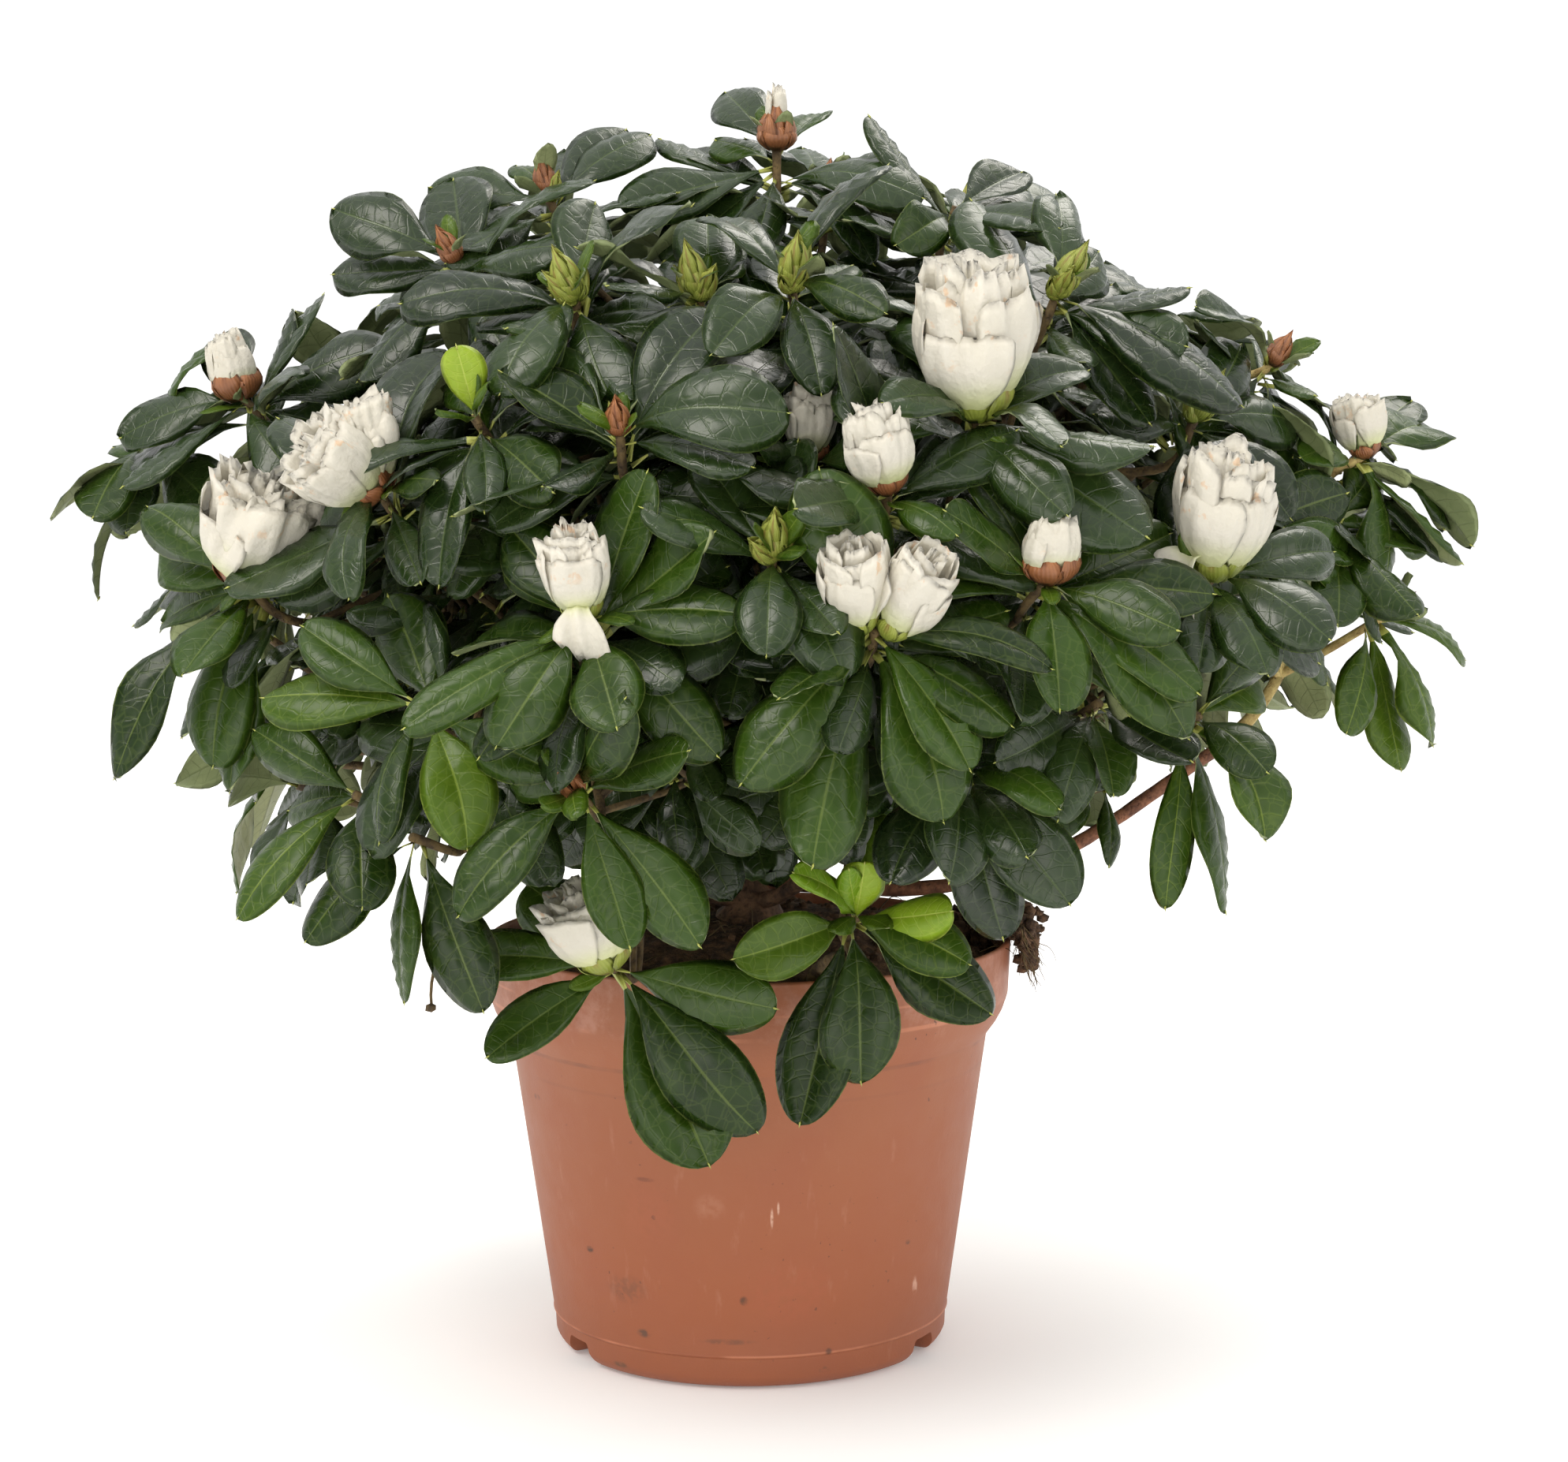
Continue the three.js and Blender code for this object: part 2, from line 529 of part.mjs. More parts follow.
// The direction, length and facing of each of a shoot's leaves, from the tip down
function leavesOf(shoot) {
  const { axis } = shoot;
  if (shoot.leaves) return shoot.leaves.map(([heading, span]) => shownLeaf(heading, span, axis));
  const roll = dice(shoot.seed);
  const side = v3(0, 0, 1).cross(axis).normalize();
  const across = axis.clone().cross(side);
  const start = 360 * roll();
  return Array.from({ length: LEAVES_A_SHOOT }, (_, k) => {
    const turn = radians(start + k * TURN + LEAF_SPREAD * (roll() - 0.5));
    const lean = radians(LEAF_LEAN.first + LEAF_LEAN.step * k + LEAF_LEAN.spread * (roll() - 0.5));
    const way = axis.clone().multiplyScalar(Math.cos(lean));
    way.addScaledVector(side, Math.sin(lean) * Math.cos(turn));
    way.addScaledVector(across, Math.sin(lean) * Math.sin(turn));
    way.z -= LEAF_SAG;
    const length = THREE.MathUtils.lerp(...LEAF_LENGTH, roll());
    return { way: way.normalize(), length, face: axis.clone().add(v3(0, 0, LEAF_FACE_UP)) };
  });
}

// A leaf is an octahedron with its corners pulled to root, tip, two edges, and upper and under side
function leafGeometry(root, way, length, face) {
  const up = face.clone().addScaledVector(way, -face.dot(way)).normalize();
  const side = way.clone().cross(up);
  const arch = LEAF_ARCH * length;
  const geometry = new THREE.OctahedronGeometry(1, 0);
  const position = geometry.attributes.position;
  for (let i = 0; i < position.count; i++) {
    const [x, y, z] = [position.getX(i), position.getY(i), position.getZ(i)];
    const along = 0.5 + 0.5 * x + LEAF_WIDEST * Math.abs(z);
    const height = arch * (y * y + LEAF_CUP * z * z) - (y < 0 ? length * LEAF_THICKNESS : 0);
    const at = root.clone().addScaledVector(way, along * length);
    at.addScaledVector(side, z * LEAF_HALF_WIDTH * length).addScaledVector(up, height);
    position.setXYZ(i, at.x, at.y, at.z);
  }
  return geometry;
}

// An egg that stands on its base point: a bloom, or with fewer faces a bud
function eggGeometry(base, way, width, height, sides) {
  const geometry = new THREE.SphereGeometry(1, sides, sides > 4 ? 4 : 2);
  geometry.translate(0, EGG_SEAT, 0);
  geometry.scale(width / 2, height / 2, width / 2);
  geometry.applyQuaternion(new THREE.Quaternion().setFromUnitVectors(v3(0, 1, 0), way));
  return geometry.translate(base.x, base.y, base.z);
}

function bloomWay(shoot) {
  if (!shoot.bloom) return shoot.axis;
  const heading = radians(shoot.bloom[0]);
  return v3(Math.cos(heading), 0, Math.sin(heading)).addScaledVector(shoot.axis, BLOOM_LEAN).normalize();
}

const alongShoot = (shoot, distance) => shoot.tip.clone().addScaledVector(shoot.axis, distance);

// Where a twig bends into the line of its shoot
const bendOf = (shoot) => alongShoot(shoot, -WHORL_LENGTH - TWIG_STRAIGHT);

// Each mass's bones are its stem, its twigs and its blooms. It keeps to the space that lies nearer to its
// own bones than to any other mass's.
function giveBones(mass) {
  mass.bones = [new THREE.Line3(mass.curve.getPoint(1), mass.heart)];
  for (const shoot of mass.shoots) {
    const bend = bendOf(shoot);
    const rise = shoot.bloom ? shoot.bloom[2] : BUD[1];
    mass.bones.push(new THREE.Line3(mass.heart, bend), new THREE.Line3(bend, shoot.tip));
    mass.bones.push(new THREE.Line3(shoot.tip, shoot.tip.clone().addScaledVector(bloomWay(shoot), rise)));
  }
}

function distanceTo(bones, point) {
  const nearest = v3(0, 0, 0);
  const distances = bones.map((bone) => bone.closestPointToPoint(point, true, nearest).distanceTo(point));
  return Math.min(...distances);
}

function inSpace(geometry, mass) {
  const position = geometry.attributes.position;
  const point = v3(0, 0, 0);
  for (let i = 0; i < position.count; i++) {
    point.fromBufferAttribute(position, i);
    const own = distanceTo(mass.bones, point);
    if (MASSES.some((other) => other !== mass && distanceTo(other.bones, point) < own + CLEAR)) return false;
  }
  return true;
}

// The stem of one mass, from just clear of its bough's tip to the heart, where its twigs fork
function massStem(mass) {
  const tangent = mass.curve.getTangent(1);
  const start = mass.curve.getPoint(1).addScaledVector(tangent, GAP);
  const half = start.distanceTo(mass.heart) / 2;
  const middle = start.clone().addScaledVector(tangent, half);
  const curve = new THREE.QuadraticBezierCurve3(start, middle, mass.heart);
  return limb(curve, [[0, BOUGH_TIP], [1, HEART_RADIUS]], BOUGH_SIDES);
}

// A three-sided twig from the heart to past the shoot's tip, thickened where the leaves sit
function twig(mass, shoot) {
  const path = new THREE.CatmullRomCurve3([mass.heart, bendOf(shoot), alongShoot(shoot, TWIG_PAST)]);
  const share = (distance) => 1 - (distance + TWIG_PAST) / path.getLength();
  const radii = [
    [0, TWIG_RADIUS],
    [share(WHORL_LENGTH), TWIG_RADIUS],
    [share(WHORL_FULL), WHORL_RADIUS],
    [1, TWIG_END],
  ];
  return limb(path, radii, 3);
}

// A leaf or bloom as a solid, or null where it would leave the mass's space or touch what stands there
function placed(geometry, mass, keepOff) {
  if (!inSpace(geometry, mass)) return null;
  const solid = solidOf(geometry);
  return solid.minGap(keepOff, 1) < LEAST_GAP ? null : solid;
}

// The first way of LEAF_TRIES in which the leaf fits, or null
function leafThatFits(mass, shoot, k, leaf, blades, keepOff) {
  for (const [turn, lift, shrink] of LEAF_TRIES) {
    const way = leaf.way.clone().applyAxisAngle(shoot.axis, radians(turn));
    way.addScaledVector(shoot.axis, lift).normalize();
    const root = alongShoot(shoot, -1 - LEAF_STEP * k).addScaledVector(way, -LEAF_SUNK);
    const blade = placed(leafGeometry(root, way, leaf.length * shrink, leaf.face), mass, keepOff);
    if (blade && blade.intersect(blades).volume() <= CROSSING) return blade;
  }
  return null;
}

function flowerThatFits(mass, shoot, keepOff) {
  const [width, height] = shoot.bloom ? shoot.bloom.slice(1) : BUD;
  const base = alongShoot(shoot, -1);
  for (const shrink of SHRINKS) {
    const egg = eggGeometry(base, bloomWay(shoot), width * shrink, height * shrink, shoot.bloom ? 6 : 4);
    const solid = placed(egg, mass, keepOff);
    if (solid) return solid;
  }
  return null;
}

// The foliage of one mass. keepOff is what it must stay clear of.
function foliage(mass, keepOff) {
  const pieces = [massStem(mass)];
  let blades = wasm.Manifold.union([]);
  for (const shoot of mass.shoots) {
    pieces.push(twig(mass, shoot));
    leavesOf(shoot).forEach((leaf, k) => {
      const blade = leafThatFits(mass, shoot, k, leaf, blades, keepOff);
      if (!blade) return;
      blades = blades.add(blade);
      pieces.push(blade);
    });
    const flower = shoot.bloom || shoot.bud ? flowerThatFits(mass, shoot, keepOff) : null;
    if (flower) pieces.push(flower);
  }
  return joined(pieces);
}

const COLOURS = {
  pot: new THREE.MeshStandardMaterial({ color: 0xa86444, roughness: 0.55, metalness: 0 }),
  peat: new THREE.MeshStandardMaterial({ color: 0x2a1c14, roughness: 0.95, metalness: 0 }),
  bark: new THREE.MeshStandardMaterial({ color: 0x6b4a32, roughness: 0.85, metalness: 0 }),
  leaf: new THREE.MeshStandardMaterial({ color: 0x2c4a2c, roughness: 0.4, metalness: 0 }),
};

const shrub = new THREE.Group();

function show(name, solid, material) {
  const mesh = new THREE.Mesh(geometryOf(solid), material);
  mesh.name = name;
  shrub.add(mesh);
}

const potSolid = pot();
const peatSolid = peat();
show("pot", potSolid, COLOURS.pot);
show("peat", peatSolid, COLOURS.peat);
show("stem", stem(), COLOURS.bark);

for (const mass of MASSES) {
  mass.curve = boughCurve(mass);
  mass.heart = onDome(...mass.at, mass.reach ?? FORK_REACH);
  mass.shoots = [];
}
for (const shoot of shoots()) {
  const away = (mass) => mass.heart.distanceTo(shoot.tip);
  MASSES.reduce((best, mass) => (away(mass) < away(best) ? mass : best)).shoots.push(shoot);
}
MASSES.forEach(giveBones);

const ground = wasm.Manifold.union([stem(GAP), peatSolid.translate(0, 0, GAP), potSolid]);
let standing = wasm.Manifold.union([potSolid, peatSolid, stem()]);
for (const mass of MASSES) {
  const solid = bough(mass, ground);
  standing = standing.add(solid);
  show("bough_" + mass.name, solid, COLOURS.bark);
}
for (const mass of MASSES) {
  const solid = foliage(mass, standing);
  standing = standing.add(solid);
  show("foliage_" + mass.name, solid, COLOURS.leaf);
}

export default shrub;
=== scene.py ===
# Potted azalea shrub: the looks of the plant, its pot and its peat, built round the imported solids.
import math

import bmesh
import bpy
import numpy as np
from mathutils import Matrix, Vector


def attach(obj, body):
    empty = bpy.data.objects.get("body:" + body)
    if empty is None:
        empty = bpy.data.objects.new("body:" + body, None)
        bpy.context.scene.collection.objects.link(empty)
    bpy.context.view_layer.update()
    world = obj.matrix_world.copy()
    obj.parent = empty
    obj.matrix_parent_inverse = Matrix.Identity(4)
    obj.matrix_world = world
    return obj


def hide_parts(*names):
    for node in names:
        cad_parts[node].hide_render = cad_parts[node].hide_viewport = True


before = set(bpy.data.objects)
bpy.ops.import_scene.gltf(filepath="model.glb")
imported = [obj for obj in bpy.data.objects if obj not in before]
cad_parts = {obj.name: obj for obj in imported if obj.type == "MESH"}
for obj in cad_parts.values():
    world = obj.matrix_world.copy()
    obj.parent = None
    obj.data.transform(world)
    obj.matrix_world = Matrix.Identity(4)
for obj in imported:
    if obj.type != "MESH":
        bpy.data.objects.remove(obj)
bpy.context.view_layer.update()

MM = 0.001
FULL_TURN = 2 * math.pi

# Camera, in millimetres and radians
CAMERA_AT = (-3.2, -812.0, 246.0)
CAMERA_PITCH = 0.115
CAMERA_YAW = 0.015
CAMERA_ROLL = 0.004
SENSOR = 36.0
FOCAL_SHARE = 4200 / 1988  # focal length as a share of the image's width

# Floor and lamps, in metres and watts
FLOOR_HALF = 12.0
FLOOR_DROP = 0.0002
LAMP_COLOUR = (1, 0.95, 0.88)
LAMP_TARGET = (0, 0, 0.15)
LAMPS = {
    "key": {"at": (-0.75, -0.75, 1.35), "size": 0.8, "power": 13},
    "front": {"at": (-0.35, -1.5, 0.28), "size": 0.9, "power": 4},
    "fill": {"at": (1.3, -0.9, 0.7), "size": 0.9, "power": 4},
    "rim": {"at": (0.5, 0.7, 1.3), "size": 0.7, "power": 8},
}

# Pot, in millimetres
WALL = 1.5
RIM_RADIUS = 65.0
RIM_TOP = 101.5
BAND_RADIUS = 64.3
BAND_LOW = 87.9
STEP_RADIUS = 59.1
STEP_HEIGHT = 78.4
SEAM_RADIUS = 49.2
SEAM_HEIGHT = 8.4
FOOT_RADIUS = 44.0
FOOT_INNER = 42.4
PLATE_UNDER = 6.2
PLATE_TOP = 7.7
HUB_RADIUS = 10.0
NOTCHES = {"first": 60, "count": 3, "low": 18.0, "high": 7.0, "height": 5.8}
DRAINS = {"count": 6, "radius": 4.5, "ring": 27.0}
POT_SIDES = 128
SHARP_EDGE = math.radians(32)

# Rings round the pot: height, half width and strength, with a dark ring above 0 and a pale one below. Most
# are rubbed, worn or dirty; the dark ring at 78.1, just under the step, is a painted shadow line, and the
# pale ring at 87.9, on the band's lower edge, is a painted highlight.
POT_RINGS = [(71.5, 0.6, 0.12), (78.1, 0.8, 0.4), (93.5, 0.4, -0.3), (87.9, 0.7, -0.4), (8.4, 0.5, -0.4)]
# The dark rings' colour: dirt, and just under the step a painted shadow line.
RING_DIRT_AND_SHADOW = (96, 62, 50)
# The pale rings' colour: rubbed plastic, and on the band's lower edge a painted highlight.
RING_RUBBED_AND_HIGHLIGHT = (214, 140, 104)

# Marks on the pot: where each is, its size across and up, its colour and its strength
POT_MARKS = [
    ((-51.5, -25.4, 66.4), (1, 1), (84, 52, 38), 0.8),
    ((-25, -49.3, 51.8), (3, 0.8), (110, 62, 40), 0.8),
    ((-38.6, -35.4, 31.3), (1.1, 1.1), (70, 48, 34), 0.9),
    ((-29.6, -41.9, 23.2), (6, 4.5), (120, 72, 46), 0.7),
    ((-25.6, -42.7, 12.6), (2.2, 1.4), (78, 58, 44), 0.8),
    ((-1.8, -51.2, 22.8), (1.3, 1.5), (66, 48, 30), 1),
    ((-5.8, -49.4, 12.3), (8, 1), (112, 68, 46), 0.75),
    ((18.2, -45.7, 8.7), (1.2, 1.2), (78, 50, 36), 0.8),
    ((17.3, -45.4, 4.1), (1.6, 1.2), (90, 62, 44), 0.7),
    ((-31.5, -36.8, 3.2), (2.4, 1), (84, 64, 46), 0.7),
    ((37.7, -36.8, 32.8), (0.9, 0.9), (80, 54, 38), 0.7),
    ((8.8, -50.7, 24.4), (16, 10), (158, 84, 52), 0.5),
    ((-24, -47, 44), (9, 12), (160, 88, 56), 0.4),
    ((4.9, -53.9, 43.4), (0.5, 3), (226, 186, 164), 0.7),
    ((6.4, -53.9, 45.8), (0.4, 2), (226, 186, 164), 0.6),
    ((-9.6, -53.7, 46.3), (5, 4), (204, 152, 126), 0.14),
    ((39.6, -32, 20.7), (0.8, 3), (222, 178, 156), 0.6),
]
MARK_DEPTH = 20.0

# Peat
PEAT_EDGE = 96.5
PEAT_CROWN = 106.0
PEAT_FLAT = 10.0
PEAT_CLEAR = 0.3
PEAT_RADIUS = BAND_RADIUS - WALL - PEAT_CLEAR
PEAT_SIDES = 72
PEAT_RINGS = 22
CRUMBS = {"count": 520, "size": (0.5, 2.0)}
SPILT_CRUMB = (0.5, 2.4)
ROOTS = {"count": 90, "length": (5, 12), "height": (99, 108), "thick": 0.16, "turn": -0.12, "spread": 0.5}
LITTER = {"count": 60, "length": (6, 14), "thick": 0.2, "within": 0.98, "lift": 0.8}
SPILL = [
    {"at": (64, -6, 105), "size": (9, 14, 4.5), "crumbs": 240},
    {"at": (68.5, -9, 99), "size": (2.6, 4.5, 7), "crumbs": 110},
    {"at": (66.5, -8, 104.5), "size": (3.4, 6, 2.4), "crumbs": 120},
    {"at": (52, 4, 102), "size": (10, 12, 6), "crumbs": 160},
]

# Stem and boughs
STEM_FOOT = 106.3
STEM_TOP = 134.0
STEM_PROFILE = [(8.5, STEM_FOOT), (6.2, 109.5), (5.4, 118), (5, 126), (4.2, STEM_TOP)]
STEM_SUNK = 2.5
BOUGH_BASE = 2.0
BOUGH_TIP = 1.6
BOUGH_REACH = 0.45
FORK_REACH = 0.62
BOUGH_BEND = 30
FLATTEST_BOUGH = -5
UPRIGHT = 80
BARK_WAVES = ((0.9, 2), (1.9, 3), (0.37, 5))
MASS_STEM_TIP = 1.45
DRY_STALK = {
    "way": [(-66, -62, 118), (-70, -70, 112), (-73, -73, 106), (-72.2, -72.9, 98)],
    "radii": (0.5, 0.35),
    "seed_size": 1.3,
}

# Sides of each kind of limb, and the relief of its bark as a share of the radius
LIMBS = {
    "stem": (18, 0.14),
    "bough": (9, 0.12),
    "mass_stem": (8, 0.1),
    "twig": (7, 0.08),
    "side_twig": (5, 0.08),
    "dry_stalk": (5, 0.1),
    "thread": (4, 0.0),
}

# Crown and shoots
CROWN = {"x": 5, "y": 0, "z": 150, "across": 150, "depth": 138, "up": 145, "down": 95}
TURN = 137.5
SHOOT_LIFT = 0.4
DOME_SHOOTS = 96
SHOOT_SPACING = math.radians(14)
SHOOT_SPREAD = 6
SHOOT_REACH = {"least": 0.95, "spread": 0.08, "inset": 0.07}
LOW_SHOOTS = 0
HIGH_SHOOTS = 60
LOWEST_SHOOT = -5
LOWEST_SINE = -0.24
MID_TONE_BELOW = 12
SEED = {
    "place": 98690,
    "leaves": 98706,
    "shown": 990,
    "side": 51000,
    "step": 977,
    "peat": 4321,
    "stem": 5,
    "bough": 40,
    "mass_stem": 77,
    "dry_stalk": 3,
    "dry_seed": 8,
}
FRONT = 101
SET_BACK = 0.84
OPEN_FRONT = {"from": -75, "to": 150, "below": 6}
TWIG_RADIUS = 1.1
WHORL_LENGTH = 12
TWIG_STRAIGHT = 4
SIDE_STRAIGHT = 14

# Leaves
LEAF_LENGTH = (28, 41)
HALF_WIDTH = (0.19, 0.28)
LIME_WIDTH = 0.19
WIDEST = 0.63
LEAF_FORM = {
    "arch": (0.0, 0.19),
    "cup": (0.05, 0.55),
    "fold": (-0.1, 0.4),
    "sweep": (-0.12, 0.12),
    "twist": (-30, 30),
    "wave": (0, 0.05),
}
VEIN_SLANT = 0.15
VEIN_RELIEF = 0.009
MIDRIB_DEPTH = 0.012
NET_STRENGTH = 0.09
PETIOLE = 0.1  # share of a leaf's length
PETIOLE_WIDTH = 0.018
LEAF_THICKNESS = 0.35
FACE_SPREAD = math.radians(30)
FACE_LIFT = 0.3
MUCRO = {"half": 0.3, "point": 1.2, "root": 0.6, "sunk": 0.5}
LEAVES_A_SHOOT = 8
LEAF_STEP = 1.0
LEAF_OUT = 0.6
LEAF_LEAN = {"first": 54, "step": 8, "spread": 14, "most": 96}
LEAF_SPREAD = 20
LEAF_SAG = 0.12
SHOWN_LENGTH = 32
FLATTEST = 0.96
LONGEST_SHARE = 1.5
SHOWN_LEAN = 0.25
SHOWN_FACE = (0, -0.7, 0.4)
SHOWN_TO_VIEW = 0.8
BEHIND = -0.25
FILLED_ABOVE = 14
OLDER = {"count": 5, "first": 2, "below": 9, "step": 4, "length": 0.85}

# Blooms and buds
BLOOM_SHARE = 0.2
BUD_SHARE = 0.5
HIGHEST_BLOOM = 42
BLOOM_WIDTH = (18, 26)
BLOOM_HEIGHT = (20, 30)
BLOOM_LEAN = 0.4
PETAL_THICKNESS = 0.25
OVERLAP = 0.04
TIERS = ((1.0, 0.58, 0.92), (0.88, 0.84, 0.98))
RISE = [0, 0.1, 0.25, 0.45, 0.65, 0.85, 1]
CUP = [0.2, 0.46, 0.74, 0.92, 1.0, 1.0, 0.93]
OPEN = [0.2, 0.42, 0.7, 0.9, 1.0, 1.02, 1.0]
SHUT = [0.3, 0.6, 0.86, 1.0, 0.98, 0.88, 0.72]
PLAIN_FORM = {"profile": CUP, "outer": 4, "inner": 4, "crumple": 1.2, "calyx": "rust"}
FORMS = {
    "cup": {"inner": 5, "calyx": "green"},
    "closed": {},
    "open": {"outer": 5, "inner": 6, "crumple": 1.8},
    "double": {"crumple": 0.75, "calyx": "green"},
    "pair": {"profile": OPEN, "inner": 5, "crumple": 1.6},
    "small": {"outer": 3, "inner": 3, "crumple": 1.0},
    "emerging": {"profile": SHUT, "cupped": True},
    "flopped_left": {"inner": 5, "calyx": "green", "flop": 35},
    "flopped_front": {"crumple": 1.3, "calyx": "green", "flop": 85},
}
DOME_FORMS = ("cup", "open", "closed", "double", "flopped_left")
CALYX_SCALES = 5
LEAST_CALYX = 6.5
CALYX = {"width": 0.5, "height": (0.24, 0.36), "parting": 0.95}
CUPPED_CALYX = {"width": 1.0, "height": (0.5, 0.64), "parting": 0.3}
BUD_TIERS = ((1.0, 0.58), (0.96, 0.82), (0.76, 1.0))
BUD_SIZES = {
    "green": [((7, 13.5), 0.15), ((5.6, 11), 0.6), ((5, 9.5), 0.75), ((4.2, 8), 0.95)],
    "rust": [((6, 10), 0.12), ((4.4, 8), 0.7)],
}
BURSTING_BUD = (10, 12)
BRACT = {
    "length": (9, 16),
    "half_width": 0.2,
    "sunk": 1.5,
    "turn": 1.7,
    "lean": (0.35, 0.9),
    "drooping": (1.4, 2.2),
}
LIME_LEAF = {"length": 17, "half_width": 0.3}

# Masses of foliage, by the source's rule
MASSES = [
    {"name": "top", "at": (0, 84), "foot": STEM_TOP - 2},
    {"name": "high_front", "at": (-10, 50), "foot": 128.5},
    {"name": "high_right", "at": (60, 50), "foot": 128.5},
    {"name": "high_back_right", "at": (132, 50), "foot": 128.5},
    {"name": "high_back_left", "at": (-140, 50), "foot": 128.5},
    {"name": "high_left", "at": (-72, 50), "foot": 128.5},
    {"name": "front_left", "at": (-33, 17), "foot": 119.5},
    {"name": "front", "at": (6, 19), "foot": 124},
    {"name": "front_right", "at": (46, 18), "foot": 119.5},
    {"name": "right_back", "at": (104, 18), "foot": 119.5},
    {"name": "back_right", "at": (152, 17), "foot": 124},
    {"name": "back_left", "at": (-158, 17), "foot": 119.5},
    {"name": "left_back", "at": (-116, 17), "foot": 124},
    {"name": "left", "at": (-78, 20), "foot": 119.5},
    {"name": "low_left", "at": (-58, -8), "foot": 110.5},
    {"name": "low_back_left", "at": (-122, -8), "foot": 110.5},
    {"name": "low_back", "at": (176, -8), "foot": 110.5},
    {"name": "low_right", "at": (122, -8), "foot": 110.5, "open": True},
    {"name": "low_front_left", "at": (-22, -16), "foot": 115},
    {"name": "low_front_right", "at": (36, -4), "foot": 110.5, "open": True},
    {
        "name": "bare_branch",
        "at": (80, 8),
        "reach": 0.84,
        "way": [(0, 0, 115), (44, -13, 115), (76, -20, 125), (112, -21, 149)],
    },
    {
        "name": "new_growth",
        "at": (14, -28),
        "reach": 0.72,
        "way": [(14, -46, 92), (15, -54, 101), (18, -65, 106.5)],
    },
]
LEAF_GROUPS = {
    "leaves_high": ("top", "high_front", "high_right", "high_left"),
    "leaves_high_back": ("high_back_right", "high_back_left", "back_left"),
    "leaves_front": ("front_left", "front", "front_right"),
    "leaves_back": ("right_back", "back_right", "left_back", "low_back"),
    "leaves_left": ("left", "low_left", "low_back_left", "low_front_left"),
    "leaves_right": ("bare_branch", "low_right", "low_front_right", "new_growth"),
}

